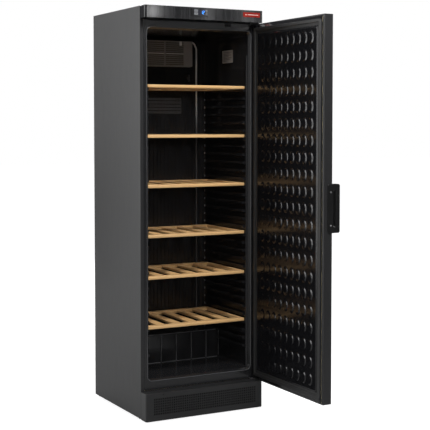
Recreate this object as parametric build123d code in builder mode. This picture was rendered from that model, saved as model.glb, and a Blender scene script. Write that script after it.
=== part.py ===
# Upright wine cabinet: a foam-filled steel carcass with a moulded liner, six sliding beech shelves,
# a solid insulated door hung on the right and a compressor bay behind the kick plate.
# Frame: millimetres, +Z up, +Y to the back, origin on the floor under the middle of the carcass.
# The door is drawn where it rests, swung 90 degrees open.
import os

from build123d import *

os.makedirs("parts", exist_ok=True)

# Driving dimensions
cabinet_width = 595.0
cabinet_height = 1840.0
carcass_depth = 540.0
nose_depth = 55.0  # how far the fascia and the kick plate stand in front of the carcass
sheet = 1.0  # painted steel
floor_gap = 6.0  # under the side panels
front_return = 16.0  # steel folded round the front edge of each side
base_height = 132.0
kick_height = 128.0
fascia_height = 54.0

mouth_width = 535.0  # opening of the liner in the front plane
mouth_bottom = 170.0
mouth_top = 1752.0
mouth_taper = 10.0  # the liner is this much narrower on every side behind its mouth
mouth_corner = 26.0
mouth_front_y = -271.5
mouth_back_y = -255.0
liner_wall = 2.0
liner_back_y = 200.0
duct_y = 145.0  # front crests of the corrugated air duct panel
step_y = 30.0  # the liner steps forward here over the compressor bay
step_top = 317.0
bay_y = 77.0
bay_top = 270.0

rib_pitch = 37.4
rib_depth = 17.0
rib_height = 14.0
rib_front_y = -238.0
first_rib_top = 286.9
rib_count = 33
bead_rise = 7.0  # upright bead in front of the ribs
bead_y = -246.0
bead_width = 12.0
bead_top = 1640.0
shelf_ribs = (3, 9, 14, 20, 26, 32)  # the rib under each shelf, counted up from the lowest

shelf_width = 498.0
shelf_depth = 378.0
shelf_front_y = -245.0
shelf_height = 14.0
slat_thickness = 9.0
rest_gap = 0.3  # between faces that slide or close on each other

hinge_x = 282.5
hinge_y = -290.0
hinge_pin_radius = 4.0
bearing_gap = 0.05
door_bottom = 134.0
door_top = 1780.0
door_cap = 6.0
door_inner_x = hinge_x - 10.0
door_outer_x = hinge_x + 33.0
door_hinge_edge_y = hinge_y + 13.0
door_free_edge_y = hinge_y - 578.0
gasket_inset = 17.0
bulb_width = 15.0
flap_width = 15.0
flap_thickness = 3.0
gasket_depth = 8.1

# Worked out from the driving dimensions
half_width = cabinet_width / 2
front_y = -carcass_depth / 2
back_y = carcass_depth / 2
nose_y = front_y - nose_depth
fascia_bottom = cabinet_height - fascia_height
mouth_height = mouth_top - mouth_bottom
mouth_centre_z = (mouth_top + mouth_bottom) / 2
cavity_half = mouth_width / 2 - mouth_taper
cavity_bottom = mouth_bottom + mouth_taper
cavity_top = mouth_top - mouth_taper
flange_half = half_width - front_return
flange_bottom = base_height + 1.0
rail_outer = half_width - sheet
bend_room = 3.0  # keeps square parts clear of the inside of the folded corners
back_half = rail_outer - bend_room
back_bottom = bay_top + 5.0
flange_top = 1781.5
door_height = door_top - door_bottom
door_centre_z = (door_top + door_bottom) / 2
door_width = door_hinge_edge_y - door_free_edge_y
door_centre_y = (door_hinge_edge_y + door_free_edge_y) / 2
door_centre_x = (door_inner_x + door_outer_x) / 2
door_depth = door_outer_x - door_inner_x


def facing_front(y):
    """A sketch plane at this y. Its x is the cabinet's X, its y is Z, and it extrudes to the front."""
    return Plane.XZ.offset(-y)


def facing_right(x):
    """A sketch plane at this x. Its x is the cabinet's Y, its y is Z, and it extrudes to the right."""
    return Plane.YZ.offset(x)


def level(z):
    return Plane.XY.offset(z)


def block(x, y, z, mode=Mode.ADD):
    """A box between two limits on each axis."""
    size = [high - low for low, high in (x, y, z)]
    centre = [(high + low) / 2 for low, high in (x, y, z)]
    with Locations(tuple(centre)):
        Box(*size, mode=mode)


# Carcass panels
for side, name in ((-1, "side_panel_left"), (1, "side_panel_right")):
    with BuildPart() as side_panel:
        with BuildSketch(level(floor_gap)):
            with BuildLine():
                FilletPolyline(
                    (side * flange_half, front_y + sheet / 2),
                    (side * (half_width - sheet / 2), front_y + sheet / 2),
                    (side * (half_width - sheet / 2), back_y - sheet / 2),
                    (side * (half_width - 14), back_y - sheet / 2),
                    radius=2.5,
                )
            trace(line_width=sheet)
        extrude(amount=cabinet_height - sheet - floor_gap)
    side_panel.part.label = name
    export_step(side_panel.part, f"parts/{name}.step")

with BuildPart() as top_panel:
    with BuildSketch(level(cabinet_height - sheet)):
        Rectangle(cabinet_width, carcass_depth)
        fillet(vertices(), 2.5)
    extrude(amount=sheet)
    block((-flange_half, flange_half), (front_y, front_y + sheet), (flange_top, cabinet_height - sheet))
top_panel.part.label = "top_panel"
export_step(top_panel.part, "parts/top_panel.step")

with BuildPart() as back_panel:
    block(
        (-back_half, back_half),
        (back_y - 2 * sheet, back_y - sheet),
        (back_bottom, cabinet_height - sheet),
    )
    with BuildSketch(facing_front(back_y - sheet)):
        with Locations((0, 560), (0, 1060), (0, 1560)):
            RectangleRounded(500, 300, 40)
            RectangleRounded(470, 270, 30, mode=Mode.SUBTRACT)
    extrude(amount=-0.8)
back_panel.part.label = "back_panel"
export_step(back_panel.part, "parts/back_panel.step")

# Base frame: side rails, front and rear cross members and the tray under the compressor
with BuildPart() as base_frame:
    for side in (-1, 1):
        web = sorted((side * rail_outer, side * (rail_outer - 2)))
        block(web, (front_y + bend_room, back_y - 4), (22, base_height))
        foot_flange = sorted((side * rail_outer, side * (rail_outer - 48)))
        block(foot_flange, (front_y + bend_room, back_y - 4), (22, 24))
        top_flange = sorted((side * rail_outer, side * (rail_outer - 30)))
        block(top_flange, (front_y + bend_room, bay_y), (base_height - 2, base_height))
    block((-flange_half, flange_half), (front_y, front_y + bend_room), (22, base_height))
    block((-back_half, back_half), (back_y - 4, back_y - 2), (22, 60))
    block((-rail_outer, rail_outer), (bay_y, back_y - 4), (22, 24))
    with Locations(*[(x, y, 23) for x in (-272, 272) for y in (-236, 236)]):
        Hole(radius=5.2, depth=4)
base_frame.part.label = "base_frame"
export_step(base_frame.part, "parts/base_frame.step")

with BuildPart() as levelling_feet:
    for x in (-272, 272):
        for y in (-236, 236):
            with BuildSketch(Plane(origin=(x, y, 0), x_dir=(1, 0, 0), z_dir=(0, -1, 0))):
                with BuildLine():
                    Polyline((0, 0), (19, 0), (20, 2), (20, 8), (12, 13), (8.5, 13), (8.5, 22),
                             (5, 22), (5, 50), (0, 50), close=True)
                make_face()
            revolve(axis=Axis((x, y, 0), (0, 0, 1)))
levelling_feet.part.label = "levelling_feet"
export_step(levelling_feet.part, "parts/levelling_feet.step")

# The liner's air space, with the shelf ribs left out of it, and the tub that surrounds that space
with BuildPart() as air_space:
    with BuildSketch(facing_front(mouth_front_y)):
        with Locations((0, mouth_centre_z)):
            RectangleRounded(mouth_width, mouth_height, mouth_corner)
    with BuildSketch(facing_front(mouth_back_y)):
        with Locations((0, mouth_centre_z)):
            RectangleRounded(2 * cavity_half, cavity_top - cavity_bottom, mouth_corner - mouth_taper)
    loft()
    with BuildSketch(facing_front(liner_back_y)):
        with Locations((0, mouth_centre_z)):
            RectangleRounded(2 * cavity_half, cavity_top - cavity_bottom, mouth_corner - mouth_taper)
    extrude(amount=liner_back_y - mouth_back_y)
    block((-half_width, half_width), (step_y, back_y), (0, step_top), mode=Mode.SUBTRACT)
    with BuildSketch(facing_front(duct_y - 1)):
        for side in (-1, 1):
            for rib in range(rib_count):
                rib_top = first_rib_top + rib * rib_pitch
                with BuildLine():
                    Polyline(
                        (side * half_width, rib_top),
                        (side * (cavity_half - rib_depth), rib_top),
                        (side * (cavity_half - rib_depth), rib_top - rib_height + 4),
                        (side * cavity_half, rib_top - rib_height),
                        (side * half_width, rib_top - rib_height),
                        close=True,
                    )
                make_face()
    extrude(amount=duct_y - 1 - rib_front_y, mode=Mode.SUBTRACT)
    with BuildSketch(level(cavity_bottom)):
        for side in (-1, 1):
            with Locations((side * cavity_half, bead_y)):
                RectangleRounded(2 * bead_rise, bead_width, bead_width / 2 - 0.5)
    extrude(amount=bead_top - cavity_bottom, mode=Mode.SUBTRACT)

with BuildPart() as tub:
    with BuildSketch(facing_front(mouth_front_y)):
        with Locations((0, mouth_centre_z)):
            RectangleRounded(
                mouth_width + 2 * liner_wall,
                mouth_height + 2 * liner_wall,
                mouth_corner + liner_wall,
            )
    with BuildSketch(facing_front(mouth_back_y)):
        with Locations((0, mouth_centre_z)):
            RectangleRounded(
                2 * (cavity_half + liner_wall),
                cavity_top - cavity_bottom + 2 * liner_wall,
                mouth_corner - mouth_taper + liner_wall,
            )
    loft()
    with BuildSketch(facing_front(liner_back_y + liner_wall)):
        with Locations((0, mouth_centre_z)):
            RectangleRounded(
                2 * (cavity_half + liner_wall),
                cavity_top - cavity_bottom + 2 * liner_wall,
                mouth_corner - mouth_taper + liner_wall,
            )
    extrude(amount=liner_back_y + liner_wall - mouth_back_y)
    block(
        (-half_width, half_width),
        (step_y + liner_wall, back_y),
        (0, step_top - liner_wall),
        mode=Mode.SUBTRACT,
    )

# Door switch pocket, in the liner's top flange and the foam behind it
switch_x = 142.0
switch_z = 1773.0
switch_width = 30.0
switch_height = 13.0
switch_back_y = -250.0
switch_pocket = (
    (switch_x - switch_width / 2, switch_x + switch_width / 2),
    (mouth_front_y - 5, switch_back_y),
    (switch_z - switch_height / 2, switch_z + switch_height / 2),
)

with BuildPart() as inner_liner:
    with BuildSketch(facing_front(front_y + 0.5)):
        with Locations((0, (flange_top + flange_bottom) / 2)):
            RectangleRounded(2 * flange_half, flange_top - flange_bottom, 6)
    extrude(amount=2)
    add(tub.part)
    add(air_space.part, mode=Mode.SUBTRACT)
    for x in range(-219, 220, 81):
        block((x - 3, x + 3), (step_y - 3, step_y + liner_wall), (cavity_bottom, step_top - 6))
    block(*switch_pocket, mode=Mode.SUBTRACT)
inner_liner.part.label = "inner_liner"
export_step(inner_liner.part, "parts/inner_liner.step")

with BuildPart() as foam_insulation:
    with BuildSketch(level(base_height)):
        with Locations((0, (front_y + 0.5 + back_y - 2 * sheet) / 2)):
            Rectangle(2 * rail_outer, back_y - 2 * sheet - front_y - 0.5)
            chamfer(vertices(), bend_room)
    extrude(amount=cabinet_height - sheet - base_height)
    block((-half_width, half_width), (front_y, front_y + sheet), (0, cabinet_height), mode=Mode.SUBTRACT)
    block((-half_width, half_width), (bay_y, back_y), (0, bay_top), mode=Mode.SUBTRACT)
    add(tub.part, mode=Mode.SUBTRACT)
    block(*switch_pocket, mode=Mode.SUBTRACT)
foam_insulation.part.label = "foam_insulation"
export_step(foam_insulation.part, "parts/foam_insulation.step")

# Fascia with the controller, its keys, the badge and the door switch
controller_x = -29.0
controller_z = 1818.0
controller_width = 84.0
controller_height = 34.0
controller_back_y = nose_y + 40
face_y = nose_y - 3  # front of the controller's bezel
window_x = -21.5
window_width = 34.0
window_height = 23.0
key_places = {  # centre x, centre z, width and height of each key
    "key_set": (-50.0, 1824.5, 19.0, 10.0),
    "key_light": (-50.0, 1811.5, 19.0, 10.0),
    "key_up": (1.5, 1824.5, 9.0, 10.0),
    "key_down": (1.5, 1811.5, 9.0, 10.0),
}

with BuildPart() as fascia_panel:
    with BuildSketch(level(fascia_bottom)):
        with Locations((0, (nose_y + front_y) / 2)):
            Rectangle(cabinet_width, nose_depth)
        fillet(vertices().group_by(Axis.Y)[0], 9)
    extrude(amount=fascia_height)
    fillet(edges().group_by(Axis.Z)[-1].filter_by(lambda e: e.center().Y < front_y - 1), 1.2)
    with BuildSketch(level(fascia_bottom + 2.5)):
        with Locations((0, (nose_y + front_y) / 2 + 2.5)):
            Rectangle(cabinet_width - 5, nose_depth)
        fillet(vertices().group_by(Axis.Y)[0], 6.5)
    extrude(amount=fascia_height - 5, mode=Mode.SUBTRACT)
    block(
        (2.5 - half_width, half_width - 2.5),
        (front_y - 4, front_y),
        (fascia_bottom, fascia_bottom + 2.5),
        mode=Mode.SUBTRACT,
    )
    with BuildSketch(facing_front(nose_y + 4)):
        with Locations((controller_x, controller_z)):
            Rectangle(controller_width - 8, controller_height - 4)
    extrude(amount=8, mode=Mode.SUBTRACT)
fascia_panel.part.label = "fascia_panel"
export_step(fascia_panel.part, "parts/fascia_panel.step")

with BuildPart() as controller_bezel:
    with BuildSketch(facing_front(nose_y)):
        with Locations((controller_x, controller_z)):
            RectangleRounded(controller_width, controller_height, 3)
    extrude(amount=nose_y - face_y)
    fillet(edges().group_by(Axis.Y)[0], 1)
    with BuildSketch(facing_front(controller_back_y)):
        with Locations((controller_x, controller_z)):
            Rectangle(controller_width - 8, controller_height - 4)
    extrude(amount=controller_back_y - nose_y)
    with BuildSketch(facing_front(controller_back_y)):
        with Locations((controller_x, controller_z)):
            Rectangle(controller_width - 12, controller_height - 8)
    extrude(amount=controller_back_y - nose_y - 0.5, mode=Mode.SUBTRACT)
    with BuildSketch(facing_front(nose_y + 1)):
        with Locations((window_x, controller_z)):
            Rectangle(window_width, window_height)
        for x, z, width, height in key_places.values():
            with Locations((x, z)):
                RectangleRounded(width + 2 * rest_gap, height + 2 * rest_gap, 1.6)
    extrude(amount=6, mode=Mode.SUBTRACT)
controller_bezel.part.label = "controller_bezel"
export_step(controller_bezel.part, "parts/controller_bezel.step")

with BuildPart() as controller_display:
    block(
        (window_x - window_width / 2, window_x + window_width / 2),
        (face_y + 0.8, face_y + 2.8),
        (controller_z - window_height / 2, controller_z + window_height / 2),
    )
controller_display.part.label = "controller_display"
export_step(controller_display.part, "parts/controller_display.step")

for name, (x, z, width, height) in key_places.items():
    with BuildPart() as key:
        with BuildSketch(facing_front(nose_y + 1.5)):
            with Locations((x, z)):
                RectangleRounded(width, height, 1.4)
        extrude(amount=nose_y + 1.5 - face_y + 1.4)
        fillet(edges().group_by(Axis.Y)[0], 0.5)
    key.part.label = name
    export_step(key.part, f"parts/{name}.step")

with BuildPart() as control_board:
    board_back_y = controller_back_y - 8
    board_front_y = board_back_y - 1.6
    block(
        (controller_x - 33, controller_x + 33),
        (board_front_y, board_back_y),
        (controller_z - 12, controller_z + 12),
    )
    for x, height, z in (((-30, -8), 10.4, (-9, 9)), ((2, 26), 7.4, (-10, 6))):  # relay and transformer
        block(
            (controller_x + x[0], controller_x + x[1]),
            (board_front_y - height, board_front_y),
            (controller_z + z[0], controller_z + z[1]),
        )
control_board.part.label = "control_board"
export_step(control_board.part, "parts/control_board.step")

with BuildPart() as badge_plate:
    with BuildSketch(facing_front(nose_y)):
        with Locations((236.5, 1819)):
            RectangleRounded(88, 21, 2)
    extrude(amount=1.6)
    fillet(edges().group_by(Axis.Y)[0], 0.6)
badge_plate.part.label = "badge_plate"
export_step(badge_plate.part, "parts/badge_plate.step")

switch_front_y = -276.0
plunger_tip_y = -279.6
plunger_travel = 3.0
with BuildPart() as door_switch_body:
    block(switch_pocket[0], (switch_front_y, switch_back_y), switch_pocket[2])
    fillet(edges().group_by(Axis.Y)[0], 1.5)
    block(
        (switch_x - 6 - rest_gap, switch_x + 6 + rest_gap),
        (switch_front_y, switch_back_y - 8),
        (switch_z - 4 - rest_gap, switch_z + 4 + rest_gap),
        mode=Mode.SUBTRACT,
    )
door_switch_body.part.label = "door_switch_body"
export_step(door_switch_body.part, "parts/door_switch_body.step")

with BuildPart() as door_switch_plunger:
    block(
        (switch_x - 6, switch_x + 6),
        (plunger_tip_y, switch_back_y - 8 - plunger_travel - 1),
        (switch_z - 4, switch_z + 4),
    )
    fillet(edges().group_by(Axis.Y)[0], 1.5)
door_switch_plunger.part.label = "door_switch_plunger"
export_step(door_switch_plunger.part, "parts/door_switch_plunger.step")

# Kick plate: a folded grille with a field of square holes
grille_columns = 48
grille_rows = 7
grille_pitch = 10.9
grille_hole = 6.2
grille_z = 68.0
kick_bottom = 4.0
kick_sheet = 1.2
kick_screws = ((-214, 120), (214, 120))
with BuildPart() as kick_plate:
    with BuildSketch(level(kick_bottom)):
        with Locations((0, (nose_y + front_y) / 2)):
            Rectangle(cabinet_width, nose_depth)
        fillet(vertices().group_by(Axis.Y)[0], 9)
    extrude(amount=kick_height - kick_bottom)
    fillet(edges().group_by(Axis.Z)[-1].filter_by(lambda e: e.center().Y < front_y - 1), 1.2)
    with BuildSketch(level(kick_bottom)):
        with Locations((0, (nose_y + front_y) / 2 + kick_sheet)):
            Rectangle(cabinet_width - 2 * kick_sheet, nose_depth)
        fillet(vertices().group_by(Axis.Y)[0], 9 - kick_sheet)
    extrude(amount=kick_height - kick_bottom - kick_sheet, mode=Mode.SUBTRACT)
    block(
        (-half_width + 2, half_width - 2),
        (front_y - 4, front_y),
        (0, cabinet_height),
        mode=Mode.SUBTRACT,
    )
    with BuildSketch(facing_front(nose_y + 3)):
        with Locations((0, grille_z)):
            with GridLocations(grille_pitch, grille_pitch, grille_columns, grille_rows):
                Rectangle(grille_hole, grille_hole)
        with Locations(*kick_screws):
            Circle(2.3)
    extrude(amount=6, mode=Mode.SUBTRACT)
kick_plate.part.label = "kick_plate"
export_step(kick_plate.part, "parts/kick_plate.step")

# Rear cover of the compressor bay, with louvre slots and the mains inlet in its lower corner
cover_bottom = 24.0
cover_sheet_y = back_y - 2 * sheet
inlet_x = -215.0
inlet_z = 78.0
cover_screws = ((-278, 110), (278, 110), (-278, 255), (278, 255))
with BuildPart() as rear_cover:
    block((-back_half, back_half), (cover_sheet_y, back_y - sheet), (cover_bottom, back_bottom - 1))
    with BuildSketch(facing_front(back_y)):
        with Locations((0, 175)):
            with GridLocations(110, 16, 4, 9):
                SlotOverall(90, 6)
        with Locations((inlet_x, inlet_z)):
            Rectangle(31, 25)
        with Locations(*cover_screws):
            Circle(2.3)
    extrude(amount=4, mode=Mode.SUBTRACT)
rear_cover.part.label = "rear_cover"
export_step(rear_cover.part, "parts/rear_cover.step")

with BuildPart() as power_inlet:
    with BuildSketch(facing_front(back_y - 26)):
        with Locations((inlet_x, inlet_z)):
            Rectangle(30, 24)
            Rectangle(24, 18, mode=Mode.SUBTRACT)
    extrude(amount=-26)
    with BuildSketch(facing_front(back_y - 26)):
        with Locations((inlet_x, inlet_z)):
            Rectangle(30, 24)
    extrude(amount=-5)
    with BuildSketch(facing_front(back_y - 26)):
        with Locations((inlet_x - 7, inlet_z - 1), (inlet_x, inlet_z + 4), (inlet_x + 7, inlet_z - 1)):
            Rectangle(2, 4)
    extrude(amount=-18)
power_inlet.part.label = "power_inlet"
export_step(power_inlet.part, "parts/power_inlet.step")

# One screw for the kick plate and the rear cover: a domed head on a short shank
with BuildPart() as panel_screws:
    for x, z in kick_screws:
        with BuildSketch(Plane(origin=(x, nose_y, z), x_dir=(1, 0, 0), z_dir=(0, 0, 1))):
            with BuildLine():
                Polyline((0, 12), (0, -2.4), (2.6, -2), (4, -0.6), (4, 0), (2.2, 0), (2.2, 10), close=True)
            make_face()
        revolve(axis=Axis((x, nose_y, z), (0, 1, 0)))
    for x, z in cover_screws:
        with BuildSketch(Plane(origin=(x, back_y - sheet, z), x_dir=(1, 0, 0), z_dir=(0, 0, 1))):
            with BuildLine():
                Polyline((0, -12), (0, 0.9), (2.6, 0.9), (4, 0.5), (4, 0), (2.2, 0), (2.2, -10), close=True)
            make_face()
        revolve(axis=Axis((x, back_y, z), (0, 1, 0)))
panel_screws.part.label = "panel_screws"
export_step(panel_screws.part, "parts/panel_screws.step")

# Hinge brackets, pins and screws
leaf = 3.0
leaf_x = (hinge_x - 22, hinge_x + 12)
leaf_front_y = hinge_y - 12
top_leaf_z = (door_top + 2, door_top + 2 + leaf)
bottom_leaf_z = (door_bottom - 1.5 - leaf, door_bottom - 1.5)
with BuildPart() as hinge_bracket_top:
    block(leaf_x, (leaf_front_y, front_y), top_leaf_z)
    fillet(edges().filter_by(Axis.Z).group_by(Axis.Y)[0], 9)
    block(leaf_x, (front_y - leaf, front_y), (top_leaf_z[0], top_leaf_z[1] + 38))
    with Locations((hinge_x, hinge_y, top_leaf_z[0])):
        Cylinder(hinge_pin_radius, 3 * leaf, mode=Mode.SUBTRACT)
hinge_bracket_top.part.label = "hinge_bracket_top"
export_step(hinge_bracket_top.part, "parts/hinge_bracket_top.step")

with BuildPart() as hinge_bracket_bottom:
    block(leaf_x, (leaf_front_y, front_y), bottom_leaf_z)
    fillet(edges().filter_by(Axis.Z).group_by(Axis.Y)[0], 9)
    block(leaf_x, (front_y - leaf, front_y), (bottom_leaf_z[0] - 38, bottom_leaf_z[1]))
    with Locations((hinge_x, hinge_y, bottom_leaf_z[0])):
        Cylinder(hinge_pin_radius, 3 * leaf, mode=Mode.SUBTRACT)
hinge_bracket_bottom.part.label = "hinge_bracket_bottom"
export_step(hinge_bracket_bottom.part, "parts/hinge_bracket_bottom.step")

pin_reach = 18.0
with BuildPart() as hinge_pins:
    for low, high in (
        (door_top - pin_reach, top_leaf_z[1]),
        (bottom_leaf_z[0], door_bottom + pin_reach),
    ):
        with BuildSketch(level(low)):
            with Locations((hinge_x, hinge_y)):
                Circle(hinge_pin_radius)
        extrude(amount=high - low)
hinge_pins.part.label = "hinge_pins"
export_step(hinge_pins.part, "parts/hinge_pins.step")

with BuildPart() as hinge_screws:
    for z in (top_leaf_z[1] + 13, top_leaf_z[1] + 29, bottom_leaf_z[0] - 13, bottom_leaf_z[0] - 29):
        for x in (leaf_x[0] + 8, leaf_x[1] - 10):
            with BuildSketch(facing_front(front_y - leaf)):
                with Locations((x, z)):
                    Circle(4.5)
                    RegularPolygon(2.2, 6, mode=Mode.SUBTRACT)
            extrude(amount=3)
hinge_screws.part.label = "hinge_screws"
export_step(hinge_screws.part, "parts/hinge_screws.step")

# Door: a folded skin filled with foam, closed by a moulded liner, end caps and a magnetic gasket
skin_return = 12.0
liner_margin = 13.0  # from the door's edges to the edge of its liner
field_margin = gasket_inset + bulb_width + flap_width
field_rise = 2.0
field_corner = 12.0
liner_sheet = 1.5
handle_screw_x = 304.5
handle_screw_z = (895.0, 1036.0)
bush_radius = 7.0
skin_bottom = door_bottom + door_cap
skin_top = door_top - door_cap


def door_face(x, inset, corner):
    """A rounded rectangle on the door's inner side, this far inside the door's edges."""
    with BuildSketch(facing_right(x)) as face:
        with Locations((door_centre_y, door_centre_z)):
            RectangleRounded(door_width - 2 * inset, door_height - 2 * inset, corner)
    return face.sketch


field_x = door_inner_x - field_rise
field_back = door_face(field_x + liner_sheet, field_margin + liner_sheet, field_corner - liner_sheet)

with BuildPart() as door_skin:
    with BuildSketch(level(skin_bottom)):
        with BuildLine():
            FilletPolyline(
                (door_inner_x + sheet / 2, door_free_edge_y + skin_return),
                (door_inner_x + sheet / 2, door_free_edge_y + sheet / 2),
                (door_outer_x - sheet / 2, door_free_edge_y + sheet / 2),
                (door_outer_x - sheet / 2, door_hinge_edge_y - sheet / 2),
                (door_inner_x + sheet / 2, door_hinge_edge_y - sheet / 2),
                (door_inner_x + sheet / 2, door_hinge_edge_y - skin_return),
                radius=2.5,
            )
        trace(line_width=sheet)
    extrude(amount=skin_top - skin_bottom)
    with BuildSketch(facing_front(door_free_edge_y + 3)):
        with Locations(*[(handle_screw_x, z) for z in handle_screw_z]):
            Circle(2.1)
    extrude(amount=5, mode=Mode.SUBTRACT)
door_skin.part.label = "door_skin"
export_step(door_skin.part, "parts/door_skin.step")

with BuildPart() as door_liner:
    extrude(door_face(door_inner_x, liner_margin, 4), amount=liner_sheet)
    extrude(door_face(field_x, field_margin, field_corner), amount=field_rise + liner_sheet)
    extrude(field_back, amount=field_rise, mode=Mode.SUBTRACT)
door_liner.part.label = "door_liner"
export_step(door_liner.part, "parts/door_liner.step")

with BuildPart() as door_end_caps:
    for low, high, tongue in (
        (door_bottom, skin_bottom, skin_bottom + 8),
        (skin_top, door_top, skin_top - 8),
    ):
        with BuildSketch(level(low)):
            with Locations((door_centre_x, door_centre_y)):
                RectangleRounded(door_depth, door_width, 3)
        extrude(amount=high - low)
        block(
            (door_outer_x - 6, door_outer_x - 2),
            (door_free_edge_y + 8, door_hinge_edge_y - 8),
            sorted((tongue, low if tongue > low else high)),
        )
    with Locations((hinge_x, hinge_y, door_centre_z)):
        Cylinder(bush_radius, door_height + 2, mode=Mode.SUBTRACT)
door_end_caps.part.label = "door_end_caps"
export_step(door_end_caps.part, "parts/door_end_caps.step")

bush_reach = pin_reach + 4
with BuildPart() as hinge_bushes:
    for edge, direction in ((door_top, -1), (door_bottom, 1)):
        with BuildSketch(Plane(origin=(hinge_x, hinge_y, edge), x_dir=(1, 0, 0), z_dir=(0, 0, direction))):
            Circle(bush_radius)
        extrude(amount=bush_reach)
        with BuildSketch(Plane(origin=(hinge_x, hinge_y, edge), x_dir=(1, 0, 0), z_dir=(0, 0, -direction))):
            Circle(bush_radius + 2)
        extrude(amount=1.2)
    for low, high in (
        (door_bottom - 2, door_bottom + pin_reach + 0.5),
        (door_top - pin_reach - 0.5, door_top + 2),
    ):
        with BuildSketch(level(low)):
            with Locations((hinge_x, hinge_y)):
                Circle(hinge_pin_radius + bearing_gap)
        extrude(amount=high - low, mode=Mode.SUBTRACT)
hinge_bushes.part.label = "hinge_bushes"
export_step(hinge_bushes.part, "parts/hinge_bushes.step")

with BuildPart() as door_foam:
    with BuildSketch(level(skin_bottom)):
        with Locations((door_centre_x, door_centre_y)):
            Rectangle(door_depth - 2 * sheet, door_width - 2 * sheet)
            chamfer(vertices(), 2)
    extrude(amount=skin_top - skin_bottom)
    extrude(field_back, amount=field_rise + 1)
    add(door_liner.part, mode=Mode.SUBTRACT)
    add(door_end_caps.part, mode=Mode.SUBTRACT)
    add(hinge_bushes.part, mode=Mode.SUBTRACT)
    for z in (door_top - pin_reach / 2, door_bottom + pin_reach / 2):
        with Locations((hinge_x, hinge_y, z)):
            Cylinder(bush_radius, pin_reach + 1, mode=Mode.SUBTRACT)
    with BuildSketch(facing_front(door_free_edge_y + 16)):
        with Locations(*[(handle_screw_x, z) for z in handle_screw_z]):
            Circle(2.1)
    extrude(amount=16, mode=Mode.SUBTRACT)
door_foam.part.label = "door_foam"
export_step(door_foam.part, "parts/door_foam.step")

with BuildPart() as door_gasket:
    bulb_top_x = door_inner_x - gasket_depth
    flap_top_x = door_inner_x - flap_thickness
    extrude(door_face(bulb_top_x, gasket_inset, 6), amount=gasket_depth)
    inside_bulb = door_face(bulb_top_x, gasket_inset + bulb_width, 5)
    extrude(inside_bulb, amount=gasket_depth, mode=Mode.SUBTRACT)
    fillet(edges().filter_by(Plane.YZ).group_by(Axis.X)[0], 2.5)
    extrude(door_face(flap_top_x, gasket_inset + bulb_width, 5), amount=flap_thickness)
    extrude(door_face(flap_top_x, field_margin, field_corner), amount=flap_thickness, mode=Mode.SUBTRACT)
door_gasket.part.label = "door_gasket"
export_step(door_gasket.part, "parts/door_gasket.step")

# Handle: a D grip on the door's free edge, its base wrapped over the outer corner
handle_z = (863.0, 1070.0)
handle_x = (291.0, 351.0)
handle_front_y = door_free_edge_y - 5
handle_depth = 24.0
grip_x = 328.5
with BuildPart() as door_handle:
    with BuildSketch(facing_front(handle_front_y + handle_depth)):
        with Locations((sum(handle_x) / 2, sum(handle_z) / 2)):
            RectangleRounded(handle_x[1] - handle_x[0], handle_z[1] - handle_z[0], 9)
        with Locations(((door_outer_x + 2 + grip_x) / 2, sum(handle_z) / 2)):
            RectangleRounded(grip_x - door_outer_x - 2, 155, 4, mode=Mode.SUBTRACT)
    extrude(amount=handle_depth)
    fillet(edges().group_by(Axis.Y)[0], 2)
    block((0, door_outer_x), (door_free_edge_y, 0), handle_z, mode=Mode.SUBTRACT)
    with BuildSketch(facing_front(door_free_edge_y)):
        with Locations(*[(handle_screw_x, z) for z in handle_screw_z]):
            Circle(2.2)
    extrude(amount=10, mode=Mode.SUBTRACT)
door_handle.part.label = "door_handle"
export_step(door_handle.part, "parts/door_handle.step")

with BuildPart() as handle_screws:
    for z in handle_screw_z:
        with BuildSketch(Plane(origin=(handle_screw_x, handle_front_y, z))):
            with BuildLine():
                Polyline((0, 20), (0, -2.4), (2.8, -2), (4.2, -0.6), (4.2, 0), (2, 0), (2, 18), close=True)
            make_face()
        revolve(axis=Axis((handle_screw_x, handle_front_y, z), (0, 1, 0)))
handle_screws.part.label = "handle_screws"
export_step(handle_screws.part, "parts/handle_screws.step")

# Shelves: beech frames whose slats run from front to back, each on its own pair of ribs
front_rail = 36.0
shelf_corner = 8.0
side_rail = 20.0
slat_width = 40.0
slat_count = 5
slat_gap = (shelf_width - 2 * side_rail - slat_count * slat_width) / (slat_count + 1)
shelf_back_y = shelf_front_y + shelf_depth
for number, rib in enumerate(shelf_ribs, start=1):
    low = first_rib_top + rib * rib_pitch + rest_gap
    high = low + shelf_height
    with BuildPart() as shelf:
        block((-shelf_width / 2, shelf_width / 2), (shelf_front_y, shelf_front_y + front_rail), (low, high))
        fillet(edges().filter_by(Axis.Z).group_by(Axis.Y)[0], shelf_corner)
        fillet(edges().filter_by(Axis.X).group_by(Axis.Y)[0], 2.5)
        block((-shelf_width / 2, shelf_width / 2), (shelf_back_y - front_rail, shelf_back_y), (low, high))
        with Locations(
            ((side_rail - shelf_width) / 2, (shelf_front_y + shelf_back_y) / 2, (low + high) / 2),
            ((shelf_width - side_rail) / 2, (shelf_front_y + shelf_back_y) / 2, (low + high) / 2),
        ):
            Box(side_rail, shelf_depth - 2 * front_rail, shelf_height)
        with Locations((0, (shelf_front_y + shelf_back_y) / 2, (low + high) / 2)):
            with GridLocations(slat_width + slat_gap, 1, slat_count, 1):
                Box(slat_width, shelf_depth - 2 * front_rail, slat_thickness)
    shelf.part.label = f"shelf_{number}"
    export_step(shelf.part, f"parts/shelf_{number}.step")

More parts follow.
